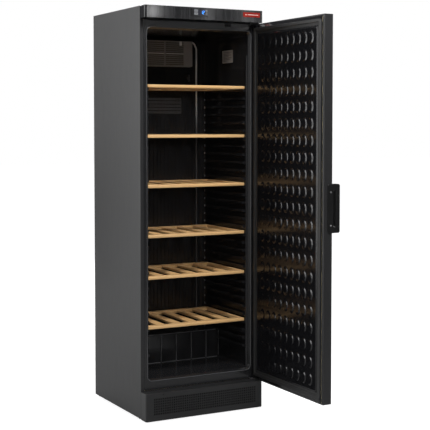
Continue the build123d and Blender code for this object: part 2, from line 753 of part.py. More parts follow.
# Air duct panel: corrugated sheet in front of the liner's back, with a perforated intake
corrugation = 20.0
duct_depth = 4.0
duct_sheet = 1.5
duct_half = cavity_half - 1
duct_bottom = step_top + 1
duct_top = cavity_top - 17
intake_x = 2.0
intake_z = 1411.0
cover_z = (1600.0, 1722.0)
fan_z = sum(cover_z) / 2
fan_spacing = 104.0
with BuildPart() as air_duct_panel:
    crest_y = duct_y
    valley_y = duct_y + duct_depth
    with BuildSketch(level(duct_bottom)):
        with BuildLine():
            front = [(-duct_half, crest_y)]
            for wave in range(int(2 * duct_half // corrugation)):
                start = (wave + 0.5) * corrugation - duct_half
                front += [(start - 4, crest_y), (start, valley_y)]
                front += [(start + 6, valley_y), (start + 10, crest_y)]
            front.append((duct_half, crest_y))
            back = [(x, y + duct_sheet) for x, y in reversed(front)]
            Polyline(*front, *back, close=True)
        make_face()
    extrude(amount=duct_top - duct_bottom)
    for x, z, width, height in ((0, fan_z, 296, 112), (intake_x, intake_z, 240, 92)):
        block(
            (x - width / 2, x + width / 2),
            (duct_y - 1, duct_y + 8),
            (z - height / 2, z + height / 2),
            mode=Mode.SUBTRACT,
        )
    with BuildSketch(facing_front(duct_y + 3)):
        with Locations((intake_x, intake_z)):
            Rectangle(246, 98)
            with GridLocations(16, 16, 14, 5):
                Circle(4.5, mode=Mode.SUBTRACT)
    extrude(amount=3)
air_duct_panel.part.label = "air_duct_panel"
export_step(air_duct_panel.part, "parts/air_duct_panel.step")

# Fan cover: a tapered box with a louvred field in front of each fan
cover_front_y = 95.0
cover_wall = 2.0
cover_half = 148.0
cover_flare = 15.0
louvre_pitch = 9.4
louvre_count = 12
with BuildPart() as fan_cover:
    for inset, mode in ((0, Mode.ADD), (cover_wall, Mode.SUBTRACT)):
        height = cover_z[1] - cover_z[0] - 2 * inset
        with BuildSketch(facing_front(duct_y)):
            with Locations((0, fan_z)):
                RectangleRounded(2 * (cover_half + cover_flare - inset), height, 6 - inset)
        with BuildSketch(facing_front(cover_front_y + inset)):
            with Locations((0, fan_z)):
                RectangleRounded(2 * (cover_half - inset), height, 6 - inset)
        loft(mode=mode)
    with BuildSketch(facing_front(cover_front_y + 4)):
        with Locations((0, fan_z)):
            with GridLocations(fan_spacing, louvre_pitch, 2, louvre_count):
                Rectangle(96, 4.6)
    extrude(amount=8, mode=Mode.SUBTRACT)
fan_cover.part.label = "fan_cover"
export_step(fan_cover.part, "parts/fan_cover.step")

# Evaporator behind the duct panel: finned block on a serpentine of tubes
with BuildPart() as evaporator:
    for row in range(3):
        for column in range(2):
            with BuildSketch(facing_right(-205)):
                with Locations((163 + 22 * column, 1500 + 40 * row)):
                    Circle(4.5)
            extrude(amount=410)
    for fin in range(24):
        x = -190 + fin * 380 / 23
        block((x - 0.6, x + 0.6), (152, 196), (1480, 1600))
evaporator.part.label = "evaporator"
export_step(evaporator.part, "parts/evaporator.step")


def blades(reach, hub, chord, count, twist):
    """Flat pitched blades round a hub on the current plane."""
    Cylinder(hub, chord)
    with PolarLocations((reach + hub) / 2 - 1, count):
        Box(reach - hub + 2, chord * 0.9, 2, rotation=(twist, 0, 0))


fan_reach = 42.0
fan_frame_y = (122.0, 144.0)
with BuildPart() as evaporator_fan_frames:
    for x in (-fan_spacing / 2, fan_spacing / 2):
        block((x - 48, x + 48), fan_frame_y, (fan_z - 48, fan_z + 48))
        with BuildSketch(facing_front(fan_frame_y[1])):
            with Locations((x, fan_z)):
                Circle(45)
        extrude(amount=fan_frame_y[1] - fan_frame_y[0], mode=Mode.SUBTRACT)
        with BuildSketch(facing_front(fan_frame_y[1])):
            with Locations((x, fan_z)):
                Circle(16)
                Rectangle(94, 5)
                Rectangle(5, 94)
        extrude(amount=4)
        with BuildSketch(facing_front(fan_frame_y[1] - 4)):
            with Locations((x, fan_z)):
                Circle(2)
        extrude(amount=15)
evaporator_fan_frames.part.label = "evaporator_fan_frames"
export_step(evaporator_fan_frames.part, "parts/evaporator_fan_frames.step")

for side, name in ((-1, "fan_blade_left"), (1, "fan_blade_right")):
    hub_plane = Plane(origin=(side * fan_spacing / 2, 131, fan_z), x_dir=(1, 0, 0), z_dir=(0, -1, 0))
    with BuildPart(hub_plane) as fan_blade:
        blades(fan_reach, 15, 14, 7, 35)
        Cylinder(2 + bearing_gap, 20, mode=Mode.SUBTRACT)
    fan_blade.part.label = name
    export_step(fan_blade.part, f"parts/{name}.step")

# Sensor conduit down the back, and the air sensor clipped beside the intake
conduit_radius = 4.0
conduit_y = 139.5
with BuildPart() as sensor_conduit:
    with BuildLine() as conduit_route:
        FilletPolyline(
            (166, conduit_y, 1722),
            (180, conduit_y, 1716),
            (192, conduit_y, 1690),
            (192, conduit_y, duct_bottom + 12),
            radius=(14, 22),
        )
    with BuildSketch(Plane(origin=conduit_route.line @ 0, z_dir=conduit_route.line % 0)):
        Circle(conduit_radius)
    sweep()
sensor_conduit.part.label = "sensor_conduit"
export_step(sensor_conduit.part, "parts/sensor_conduit.step")

with BuildPart() as temperature_sensor:
    with BuildSketch(level(1530)):
        with Locations((150, 138)):
            Circle(4)
    extrude(amount=34)
    fillet(edges().group_by(Axis.Z)[-1], 3)
    fillet(edges().group_by(Axis.Z)[0], 3)
    block((145, 155), (136, duct_y), (1540, 1552))
temperature_sensor.part.label = "temperature_sensor"
export_step(temperature_sensor.part, "parts/temperature_sensor.step")

with BuildPart() as rating_plate:
    with BuildSketch(facing_right(cavity_half - 1.2)):
        with Locations((-61.5, 1644)):
            RectangleRounded(101, 60, 3)
    extrude(amount=1.2)
rating_plate.part.label = "rating_plate"
export_step(rating_plate.part, "parts/rating_plate.step")

# Compressor bay
compressor_x = -95.0
compressor_y = 172.0
compressor_z = 40.0
compressor_feet = [(compressor_x + x, compressor_y + y) for x in (-86, 86) for y in (-48, 48)]
with BuildPart() as compressor:
    with BuildSketch(level(48)):
        with Locations((compressor_x, compressor_y)):
            Circle(78)
    extrude(amount=148)
    fillet(edges().group_by(Axis.Z)[-1], 52)
    fillet(edges().group_by(Axis.Z)[0], 28)
    with Locations((compressor_x, compressor_y, 111)):
        Cylinder(80.5, 6)
    plate_top = compressor_z + 3
    for half_x, half_y, low, high in ((100, 62, compressor_z, plate_top), (45, 45, plate_top, 52)):
        block(
            (compressor_x - half_x, compressor_x + half_x),
            (compressor_y - half_y, compressor_y + half_y),
            (low, high),
        )
    for x, y in compressor_feet:
        with Locations((x, y, compressor_z)):
            Cylinder(8, 20, mode=Mode.SUBTRACT)
compressor.part.label = "compressor"
export_step(compressor.part, "parts/compressor.step")

with BuildPart() as compressor_mounts:
    for x, y in compressor_feet:
        with BuildSketch(Plane(origin=(x, y, 0), x_dir=(1, 0, 0), z_dir=(0, -1, 0))):
            with BuildLine():
                Polyline((0, 24), (14, 24), (14, 34), (12, 40), (8, 40), (8, 43), (12, 43), (10, 52),
                         (0, 52), close=True)
            make_face()
        revolve(axis=Axis((x, y, 0), (0, 0, 1)))
compressor_mounts.part.label = "compressor_mounts"
export_step(compressor_mounts.part, "parts/compressor_mounts.step")

with BuildPart() as starter_relay:
    block((compressor_x - 122, compressor_x - 82), (compressor_y - 30, compressor_y + 30), (76, 132))
    fillet(edges().filter_by(Axis.X), 5)
starter_relay.part.label = "starter_relay"
export_step(starter_relay.part, "parts/starter_relay.step")

with BuildPart() as drip_tray:
    block((compressor_x - 75, compressor_x + 75), (compressor_y - 62, compressor_y + 62), (204, 236))
    fillet(edges().filter_by(Axis.Z), 12)
    offset(amount=-2, openings=faces().sort_by(Axis.Z)[-1])
    with Locations((compressor_x, compressor_y, 202)):
        Cylinder(20, 8)
drip_tray.part.label = "drip_tray"
export_step(drip_tray.part, "parts/drip_tray.step")

condenser_x = 165.0
condenser_z = 124.0
condenser_y = (84.0, 122.0)
with BuildPart() as condenser:
    for row in range(6):
        for column in range(2):
            with BuildSketch(facing_right(condenser_x - 96)):
                with Locations((condenser_y[0] + 10 + 18 * column, condenser_z - 70 + 28 * row)):
                    Circle(4)
            extrude(amount=192)
    for fin in range(24):
        x = condenser_x - 86 + fin * 172 / 23
        block((x - 0.6, x + 0.6), condenser_y, (condenser_z - 84, condenser_z + 84))
    for side in (-1, 1):
        x = sorted((condenser_x + side * 86, condenser_x + side * 90))
        block(x, condenser_y, (24, condenser_z + 84))
condenser.part.label = "condenser"
export_step(condenser.part, "parts/condenser.step")

with BuildPart() as condenser_fan_frame:
    with BuildSketch(facing_front(124)):
        with Locations((condenser_x, condenser_z)):
            Rectangle(180, 200)
            Circle(80, mode=Mode.SUBTRACT)
    extrude(amount=2)
    with BuildSketch(facing_front(150)):
        with Locations((condenser_x, condenser_z)):
            Circle(82)
            Circle(80, mode=Mode.SUBTRACT)
    extrude(amount=27)
    with BuildSketch(facing_front(200)):
        with Locations((condenser_x, condenser_z)):
            Circle(30)
    extrude(amount=40)
    with BuildSketch(facing_front(164)):
        with Locations((condenser_x, condenser_z)):
            Rectangle(176, 10)
    extrude(amount=3)
    for side in (-1, 1):
        x = sorted((condenser_x + side * 84, condenser_x + side * 88))
        block(x, (122, 164), (condenser_z - 5, condenser_z + 5))
    with BuildSketch(facing_front(162)):
        with Locations((condenser_x, condenser_z)):
            Circle(3)
    extrude(amount=30)
condenser_fan_frame.part.label = "condenser_fan_frame"
export_step(condenser_fan_frame.part, "parts/condenser_fan_frame.step")

condenser_hub = Plane(origin=(condenser_x, 140, condenser_z), x_dir=(1, 0, 0), z_dir=(0, -1, 0))
with BuildPart(condenser_hub) as condenser_fan_blade:
    blades(76, 22, 26, 5, 30)
    Cylinder(3 + bearing_gap, 40, mode=Mode.SUBTRACT)
condenser_fan_blade.part.label = "condenser_fan_blade"
export_step(condenser_fan_blade.part, "parts/condenser_fan_blade.step")

with BuildPart() as filter_drier:
    with BuildSketch(Plane(origin=(38, 236, 0), x_dir=(1, 0, 0), z_dir=(0, -1, 0))):
        with BuildLine():
            Polyline((0, 90), (4, 90), (4, 98), (10, 108), (10, 190), (4, 200), (4, 208), (0, 208),
                     close=True)
        make_face()
    revolve(axis=Axis((38, 236, 0), (0, 0, 1)))
filter_drier.part.label = "filter_drier"
export_step(filter_drier.part, "parts/filter_drier.step")

# Rigid copper lines: compressor to condenser, condenser to drier, drier up through the foam, and the return
line_radius = 3.0
line_routes = (
    ((-18, 150, 120), (20, 150, 120), (20, 102, 120), (67, 102, 120)),
    ((67, 102, 54), (38, 102, 54), (38, 236, 54), (38, 236, 88)),
    ((38, 236, 210), (38, 236, 245), (-10, 236, 245), (-10, 236, 268)),
    ((-17, 180, 100), (5, 180, 100), (5, 215, 100), (5, 215, 268)),
)
with BuildPart() as refrigerant_lines:
    for route in line_routes:
        with BuildLine() as line_route:
            FilletPolyline(*route, radius=9)
        with BuildSketch(Plane(origin=line_route.line @ 0, z_dir=line_route.line % 0)):
            Circle(line_radius)
        sweep(path=line_route.line)
refrigerant_lines.part.label = "refrigerant_lines"
export_step(refrigerant_lines.part, "parts/refrigerant_lines.step")
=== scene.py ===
import math

import bmesh
import bpy
from mathutils import Matrix, Vector


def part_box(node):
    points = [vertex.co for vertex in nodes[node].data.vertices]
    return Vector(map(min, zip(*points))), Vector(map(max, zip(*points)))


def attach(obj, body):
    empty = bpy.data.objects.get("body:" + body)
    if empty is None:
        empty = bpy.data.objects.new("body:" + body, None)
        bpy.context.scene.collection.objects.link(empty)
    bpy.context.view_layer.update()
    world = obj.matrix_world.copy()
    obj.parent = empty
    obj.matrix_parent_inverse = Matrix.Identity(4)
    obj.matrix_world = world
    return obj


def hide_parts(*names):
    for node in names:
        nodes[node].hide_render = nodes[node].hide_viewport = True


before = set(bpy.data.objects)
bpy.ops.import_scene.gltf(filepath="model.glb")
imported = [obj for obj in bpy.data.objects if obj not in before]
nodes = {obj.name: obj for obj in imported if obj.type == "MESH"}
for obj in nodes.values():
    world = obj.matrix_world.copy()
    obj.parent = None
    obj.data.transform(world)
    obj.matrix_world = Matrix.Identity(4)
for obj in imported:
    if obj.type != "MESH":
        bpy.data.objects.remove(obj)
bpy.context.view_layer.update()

materials = {}           # every finish by its name, filled as they are made
fullTurn = 2 * math.pi
squareCorners = ((-1, -1), (1, -1), (1, 1), (-1, 1))

# Camera and studio
cameraSet = {
    "place": (-2.3195, -4.7264, 1.3177),
    "yaw": 28.326,        # degrees to the right of straight at the front
    "pitch": 2.876,       # degrees below level
    "lens": 92.74,
    "shift": (-0.0027, -0.08),
}

studio = {
    "surround": (0.100, 0.102, 0.106),  # what the gloss sees all round
    "backdrop": (1.0, 1.0, 1.0),        # what stands behind the cabinet
    "floorTone": 0.30,
    "floorMottle": 0.985,               # share of that tone in its darker patches
    "floorSize": 60.0,
    "floorDrop": 0.0004,                # so that nothing lies in the floor's own plane
    "floorGlow": 0.83,                  # of the floor close by; it grows to 1 towards the horizon
    "glowReach": (1.2, 4.5),            # metres from the cabinet between which it grows
    "aim": (0.0, -0.25, 0.9),
    "softboxes": {
        "frontLeft": {"place": (-3.3, -3.9, 2.3), "size": (1.5, 3.0), "power": 12},
        "frontHigh": {"place": (-0.2, -2.7, 3.7), "size": (2.0, 1.0), "power": 160},
        "backLeft": {"place": (-4.0, 2.4, 1.6), "size": (3.4, 3.6), "power": 160},
        "left": {"place": (-4.6, -0.6, 1.3), "size": (1.3, 3.0), "power": 8},
        "right": {"place": (4.6, 0.4, 1.8), "size": (2.4, 3.0), "power": 150},
        "back": {"place": (0.8, 5.0, 2.4), "size": (3.0, 2.4), "power": 190},
        "stripBlock": {"place": (1.7955, -4.73, 2.308), "size": (0.12, 0.11), "power": 0.5},
        "stripThin": {"place": (2.34, -4.73, 2.2), "size": (0.05, 0.7), "power": 0.5},
        "stripFar": {"place": (2.75, -4.73, 2.2), "size": (0.09, 0.7), "power": 0.6},
    },
}


def buildCamera():
    camera = bpy.data.objects.new("camera", bpy.data.cameras.new("camera"))
    camera.location = cameraSet["place"]
    upright = math.radians(90 - cameraSet["pitch"])
    camera.rotation_euler = (upright, 0, -math.radians(cameraSet["yaw"]))
    camera.data.lens = cameraSet["lens"]
    camera.data.shift_x, camera.data.shift_y = cameraSet["shift"]
    bpy.context.scene.collection.objects.link(camera)
    bpy.context.scene.camera = camera
    bpy.context.scene.view_settings.view_transform = "Standard"


def buildStudio():
    world = bpy.data.worlds.new("studioWorld")
    world.use_nodes = True
    bpy.context.scene.world = world
    tree = world.node_tree
    surround = tree.nodes["Background"]
    surround.inputs["Color"].default_value = (*studio["surround"], 1)
    backdrop = tree.nodes.new("ShaderNodeBackground")
    backdrop.inputs["Color"].default_value = (*studio["backdrop"], 1)
    rays = tree.nodes.new("ShaderNodeLightPath")
    mix = tree.nodes.new("ShaderNodeMixShader")
    join(rays.outputs["Is Camera Ray"], mix.inputs["Fac"])
    join(surround.outputs["Background"], mix.inputs[1])
    join(backdrop.outputs["Background"], mix.inputs[2])
    join(mix.outputs["Shader"], tree.nodes["World Output"].inputs["Surface"])
    for name, softbox in studio["softboxes"].items():
        light = bpy.data.objects.new(name, bpy.data.lights.new(name, "AREA"))
        light.data.shape = "RECTANGLE"
        light.data.size, light.data.size_y = softbox["size"]
        light.data.energy = softbox["power"]
        light.location = softbox["place"]
        away = Vector(softbox["place"]) - Vector(studio["aim"])
        light.rotation_euler = away.to_track_quat("Z", "Y").to_euler()
        light.visible_camera = False
        bpy.context.scene.collection.objects.link(light)


def buildFloor():
    half = studio["floorSize"] / 2
    mesh = bpy.data.meshes.new("floor")
    mesh.from_pydata([(x * half, y * half, 0) for x, y in squareCorners], [], [(0, 1, 2, 3)])
    floor = bpy.data.objects.new("floor", mesh)
    bpy.context.scene.collection.objects.link(floor)
    floor.location.z = -studio["floorDrop"]
    tree, shader = newMaterial("paleFloor")
    speck = noiseFactor(tree, objectCoords(tree), 3.0, 4)
    tone = studio["floorTone"]
    dark, pale = ((level, level, level, 1) for level in (tone * studio["floorMottle"], tone))
    join(mixColour(tree, speck, dark, pale), shader.inputs["Base Color"])
    shader.inputs["Roughness"].default_value = 0.7
    shader.inputs["Emission Color"].default_value = (1, 1, 1, 1)
    away = tree.nodes.new("ShaderNodeVectorMath")
    away.operation = "LENGTH"
    join(objectCoords(tree), away.inputs[0])
    glow = ramped(tree, away.outputs["Value"], *studio["glowReach"], studio["floorGlow"], 1.0)
    rays = tree.nodes.new("ShaderNodeLightPath")
    join(work(tree, "MULTIPLY", glow, rays.outputs["Is Camera Ray"]), shader.inputs["Emission Strength"])
    mesh.materials.append(materials["paleFloor"])


# Shader helpers
def join(source, target):
    source.id_data.links.new(source, target)


def setOrJoin(value, socket):
    if hasattr(value, "is_output"):
        join(value, socket)
    else:
        socket.default_value = value


def newMaterial(name):
    material = bpy.data.materials.new(name)
    material.use_nodes = True
    materials[name] = material
    return material.node_tree, material.node_tree.nodes["Principled BSDF"]


def objectCoords(tree):
    return tree.nodes.new("ShaderNodeTexCoord").outputs["Object"]


def stretched(tree, vector, scale):
    node = tree.nodes.new("ShaderNodeMapping")
    node.inputs["Scale"].default_value = scale
    join(vector, node.inputs["Vector"])
    return node.outputs["Vector"]


def noiseFactor(tree, vector, scale, detail, distortion=0.0):
    node = tree.nodes.new("ShaderNodeTexNoise")
    node.inputs["Detail"].default_value = detail
    node.inputs["Distortion"].default_value = distortion
    join(vector, node.inputs["Vector"])
    setOrJoin(scale, node.inputs["Scale"])
    return node.outputs["Fac"]


def cellNode(tree, vector, scale):
    node = tree.nodes.new("ShaderNodeTexVoronoi")
    join(vector, node.inputs["Vector"])
    setOrJoin(scale, node.inputs["Scale"])
    return node


def work(tree, operation, *values):
    node = tree.nodes.new("ShaderNodeMath")
    node.operation = operation
    for socket, value in zip(node.inputs, values):
        setOrJoin(value, socket)
    return node.outputs[0]


def ramped(tree, value, low, high, toLow=0.0, toHigh=1.0):
    node = tree.nodes.new("ShaderNodeMapRange")
    labels = ("Value", "From Min", "From Max", "To Min", "To Max")
    for label, given in zip(labels, (value, low, high, toLow, toHigh)):
        setOrJoin(given, node.inputs[label])
    return node.outputs["Result"]


def mixColour(tree, factor, first, second):
    node = tree.nodes.new("ShaderNodeMix")
    node.data_type = "RGBA"
    for place, value in ((0, factor), (6, first), (7, second)):   # the sockets of its colour mode
        setOrJoin(value, node.inputs[place])
    return node.outputs[2]


def makeGroup(name, inputs, outputs):
    group = bpy.data.node_groups.new(name, "ShaderNodeTree")
    for label, value in inputs.items():
        kind = {4: "Color", 3: "Vector"}[len(value)] if isinstance(value, tuple) else "Float"
        socket = group.interface.new_socket(label, in_out="INPUT", socket_type=f"NodeSocket{kind}")
        socket.default_value = value
    for label, kind in outputs.items():
        group.interface.new_socket(label, in_out="OUTPUT", socket_type=f"NodeSocket{kind}")
    return group, group.nodes.new("NodeGroupInput").outputs, group.nodes.new("NodeGroupOutput").inputs


def placeGroup(tree, group, values):
    node = tree.nodes.new("ShaderNodeGroup")
    node.node_tree = group
    for label, value in values.items():
        setOrJoin(value, node.inputs[label])
    return node.outputs


def scaled(tree, vector, factor):
    node = tree.nodes.new("ShaderNodeVectorMath")
    node.operation = "SCALE"
    join(vector, node.inputs[0])
    join(factor, node.inputs["Scale"])
    return node.outputs[0]


# Joins a surface's colour and roughness to its shader and, where a height is given, its relief
def dress(shader, colour, rough, height=None, depth=0.0):
    join(colour, shader.inputs["Base Color"])
    join(rough, shader.inputs["Roughness"])
    if height is not None:
        bump = shader.id_data.nodes.new("ShaderNodeBump")
        bump.inputs["Distance"].default_value = depth
        join(height, bump.inputs["Height"])
        join(bump.outputs["Normal"], shader.inputs["Normal"])


# The skin of painted, moulded and rolled surfaces: a fine texture, slow changes of tone and
# gloss, and edges rubbed a little lighter
def buildSkinGroup():
    group, given, out = makeGroup(
        "workedSkin",
        {"Vector": (0.0, 0.0, 0.0), "Colour": (0.5, 0.5, 0.5, 1.0), "Tone Spread": 0.1, "Roughness": 0.4,
         "Gloss Spread": 0.1, "Texture Scale": 900.0, "Patch Scale": 5.0, "Edge Width": 0.001,
         "Edge Wear": 0.2},
        {"Colour": "Color", "Roughness": "Float", "Height": "Float"},
    )
    texture = noiseFactor(group, given["Vector"], given["Texture Scale"], 3)
    patches = noiseFactor(group, given["Vector"], given["Patch Scale"], 5, 0.6)
    smears = noiseFactor(group, stretched(group, given["Vector"], (3, 3, 0.7)), 9, 6, 1.5)
    spread = work(group, "SUBTRACT", patches, 0.5)
    tone = work(group, "MULTIPLY_ADD", spread, given["Tone Spread"], 1.0)
    tinted = scaled(group, given["Colour"], tone)
    bevel = group.nodes.new("ShaderNodeBevel")
    bevel.samples = 4
    join(given["Edge Width"], bevel.inputs["Radius"])
    plain = group.nodes.new("ShaderNodeNewGeometry")
    turned = group.nodes.new("ShaderNodeVectorMath")
    turned.operation = "DOT_PRODUCT"
    join(bevel.outputs["Normal"], turned.inputs[0])
    join(plain.outputs["Normal"], turned.inputs[1])
    edge = ramped(group, turned.outputs["Value"], 0.99, 0.8)
    broken = work(group, "MULTIPLY", edge, ramped(group, smears, 0.35, 0.65))
    worn = work(group, "MULTIPLY", broken, given["Edge Wear"])
    join(mixColour(group, worn, tinted, (0.5, 0.5, 0.5, 1)), out["Colour"])
    smeared = work(group, "SUBTRACT", smears, 0.5)
    join(work(group, "MULTIPLY_ADD", smeared, given["Gloss Spread"], given["Roughness"]), out["Roughness"])
    join(texture, out["Height"])
    return group


# Beech: straight grain along the given vector's X, short dark flecks and a tone for each plank
def buildBeechGroup():
    group, given, out = makeGroup(
        "beechGrain",
        {"Vector": (0.0, 0.0, 0.0), "Plank": 0.0, "Pale": (0.8, 0.6, 0.4, 1.0),
         "Warm": (0.6, 0.4, 0.2, 1.0), "Fleck": (0.3, 0.17, 0.08, 1.0)},
        {"Colour": "Color", "Roughness": "Float", "Height": "Float"},
    )
    shifted = group.nodes.new("ShaderNodeVectorMath")
    shifted.operation = "MULTIPLY_ADD"
    join(given["Plank"], shifted.inputs[0])
    shifted.inputs[1].default_value = (3.7, 1.3, 2.1)
    join(given["Vector"], shifted.inputs[2])
    along = shifted.outputs[0]
    streaks = noiseFactor(group, stretched(group, along, (2.2, 60, 60)), 3, 6, 0.4)
    bands = noiseFactor(group, stretched(group, along, (0.8, 14, 14)), 3, 3, 1.2)
    grain = work(group, "MULTIPLY_ADD", bands, 0.55, work(group, "MULTIPLY", streaks, 0.45))
    flecks = cellNode(group, stretched(group, along, (90, 1300, 1300)), 1.0).outputs["Distance"]
    dashes = work(group, "MULTIPLY", ramped(group, flecks, 0.26, 0.12), ramped(group, bands, 0.35, 0.6))
    toned = mixColour(group, ramped(group, grain, 0.34, 0.66), given["Pale"], given["Warm"])
    plankTone = work(group, "MULTIPLY_ADD", given["Plank"], 0.16, 0.9)
    tinted = scaled(group, toned, plankTone)
    join(mixColour(group, work(group, "MULTIPLY", dashes, 0.5), tinted, given["Fleck"]), out["Colour"])
    join(ramped(group, grain, 0.3, 0.7, 0.34, 0.48), out["Roughness"])
    join(work(group, "MULTIPLY_ADD", dashes, -0.6, grain), out["Height"])
    return group


# Lines drawn along one axis, as on turned, extruded and brushed metal
def buildDrawnGroup():
    group, given, out = makeGroup(
        "drawnLines",
        {"Vector": (0.0, 0.0, 0.0), "Colour": (0.6, 0.6, 0.6, 1.0), "Tarnish": (0.3, 0.3, 0.3, 1.0),
         "Tarnish Amount": 0.3, "Roughness": 0.35},
        {"Colour": "Color", "Roughness": "Float", "Height": "Float"},
    )
    lines = noiseFactor(group, stretched(group, given["Vector"], (40, 2600, 2600)), 1.0, 2)
    patches = noiseFactor(group, given["Vector"], 40.0, 6, 1.0)
    amount = work(group, "MULTIPLY", ramped(group, patches, 0.45, 0.7), given["Tarnish Amount"])
    join(mixColour(group, amount, given["Colour"], given["Tarnish"]), out["Colour"])
    rough = work(group, "MULTIPLY_ADD", lines, 0.12, given["Roughness"])
    join(work(group, "MULTIPLY_ADD", amount, 0.25, rough), out["Roughness"])
    join(lines, out["Height"])
    return group


# Finishes made with the worked skin. Columns: colour, roughness, texture per metre and its depth
# in thousandths of a millimetre, spread of tone, spread of gloss, wear along the edges
skinColumns = ("colour", "rough", "grain", "depth", "toneSpread", "glossSpread", "wear")
skinFinishes = {
    "cabinetPaint": ((0.0165, 0.0165, 0.0172), 0.40, 1100, 40, 0.25, 0.10, 0.10),
    "backPaint": ((0.017, 0.017, 0.018), 0.58, 700, 60, 0.3, 0.16, 0.15),
    "linerGloss": ((0.013, 0.013, 0.014), 0.20, 420, 6, 0.3, 0.10, 0.05),
    "doorGloss": ((0.007, 0.007, 0.008), 0.15, 300, 4, 0.3, 0.08, 0.04),
    "coverGrey": ((0.22, 0.225, 0.24), 0.30, 900, 30, 0.2, 0.10, 0.25),
    "louvreGrey": ((0.008, 0.008, 0.008), 0.45, 900, 30, 0.2, 0.10, 0.15),
    "beadGloss": ((0.075, 0.075, 0.078), 0.16, 900, 5, 0.2, 0.08, 0.05),
    # Light grey that paints highlights on the intake's hole rims and the runners' tips
    "paintedHighlightGrey": ((0.18, 0.18, 0.185), 0.30, 1200, 20, 0.3, 0.12, 0.2),
    # A spread of tone of 4 that paints upright streaks of reflection on the fascia
    "fasciaGloss": ((0.014, 0.014, 0.015), 0.09, 260, 4, 4.0, 0.10, 0.06),
    "clipWhite": ((0.85, 0.86, 0.88), 0.40, 1400, 30, 0.1, 0.10, 0.0),
    # Near white that paints a louvre's highlight on the fan cover's bars
    "highlightBarGrey": ((0.75, 0.76, 0.78), 0.30, 900, 20, 0.3, 0.10, 0.1),
    # Near black that paints the shade in the kick plate's holes and behind its grille
    "paintedShadeBlack": ((0.004, 0.004, 0.004), 0.9, 1500, 300, 0.6, 0.05, 0.0),
    "capPlastic": ((0.018, 0.018, 0.019), 0.36, 1500, 40, 0.25, 0.12, 0.12),
    "gripPlastic": ((0.005, 0.005, 0.005), 0.36, 2200, 60, 0.3, 0.14, 0.10),
    "sealRubber": ((0.020, 0.020, 0.020), 0.50, 1800, 50, 0.4, 0.18, 0.10),
    "footRubber": ((0.016, 0.016, 0.016), 0.75, 1300, 120, 0.5, 0.15, 0.25),
    "keyGrey": ((0.15, 0.155, 0.165), 0.48, 2400, 50, 0.2, 0.10, 0.10),
    "iconInk": ((0.03, 0.03, 0.035), 0.6, 3000, 20, 0.2, 0.05, 0.0),
    "badgeRed": ((0.24, 0.014, 0.008), 0.38, 1500, 30, 0.15, 0.08, 0.05),
    "badgeLight": ((0.66, 0.60, 0.57), 0.30, 2500, 20, 0.1, 0.08, 0.0),
    "tubeGrey": ((0.24, 0.24, 0.25), 0.45, 1200, 50, 0.15, 0.10, 0.08),
    "plateGrey": ((0.36, 0.37, 0.39), 0.38, 2600, 20, 0.10, 0.10, 0.05),
    "compressorBlack": ((0.012, 0.012, 0.013), 0.30, 500, 120, 0.4, 0.2, 0.2),
    "zincBracket": ((0.055, 0.055, 0.057), 0.42, 900, 50, 0.5, 0.2, 0.5),
}
skinDepthUnit = 1e6      # of those depths in a metre
skinPatch = 5            # patches of tone per metre, where a finish gives none of its own
skinSpecular = 0.5

# What a few of them have besides: drawn-out upright patches on the fascia, whose wide spread of tone paints
# streaks of reflection, and less shine on the badge
skinExtras = {
    "fasciaGloss": {"stretch": (1, 1, 0.01), "patch": 46},
    "badgeRed": {"specular": 0.12},
}

metalFinishes = {
    "screwZinc": {"colour": (0.50, 0.50, 0.51), "tarnish": (0.22, 0.21, 0.2), "amount": 0.4, "rough": 0.28},
    "screwBlack": {"colour": (0.035, 0.035, 0.037), "tarnish": (0.1, 0.1, 0.1), "amount": 0.5, "rough": 0.34},
    "finAluminium": {"colour": (0.78, 0.79, 0.80), "tarnish": (0.55, 0.56, 0.58), "amount": 0.5, "rough": 0.32},
    "tubeCopper": {"colour": (0.72, 0.36, 0.22), "tarnish": (0.30, 0.14, 0.08), "amount": 0.8, "rough": 0.26},
}
metalDepth = 0.00002

beechFinish = {
    "pale": (0.74, 0.48, 0.23, 1.0),
    "warm": (0.60, 0.35, 0.14, 1.0),
    "fleck": (0.40, 0.21, 0.09, 1.0),
    "depth": 0.00006,
}


def buildSkinMaterials(group):
    for name, row in skinFinishes.items():
        finish = dict(zip(skinColumns, row)) | skinExtras.get(name, {})
        tree, shader = newMaterial(name)
        vector = objectCoords(tree)
        if "stretch" in finish:
            vector = stretched(tree, vector, finish["stretch"])
        skin = placeGroup(tree, group, {
            "Vector": vector,
            "Patch Scale": finish.get("patch", skinPatch),
            "Colour": (*finish["colour"], 1),
            "Roughness": finish["rough"],
            "Texture Scale": finish["grain"],
            "Tone Spread": finish["toneSpread"],
            "Gloss Spread": finish["glossSpread"],
            "Edge Wear": finish["wear"],
        })
        dress(shader, skin["Colour"], skin["Roughness"], skin["Height"], finish["depth"] / skinDepthUnit)
        shader.inputs["Specular IOR Level"].default_value = finish.get("specular", skinSpecular)


def buildMetalMaterials(group):
    for name, finish in metalFinishes.items():
        tree, shader = newMaterial(name)
        drawn = placeGroup(tree, group, {
            "Vector": objectCoords(tree),
            "Colour": (*finish["colour"], 1),
            "Tarnish": (*finish["tarnish"], 1),
            "Tarnish Amount": finish["amount"],
            "Roughness": finish["rough"],
        })
        dress(shader, drawn["Colour"], drawn["Roughness"], drawn["Height"], metalDepth)
        shader.inputs["Metallic"].default_value = 1.0


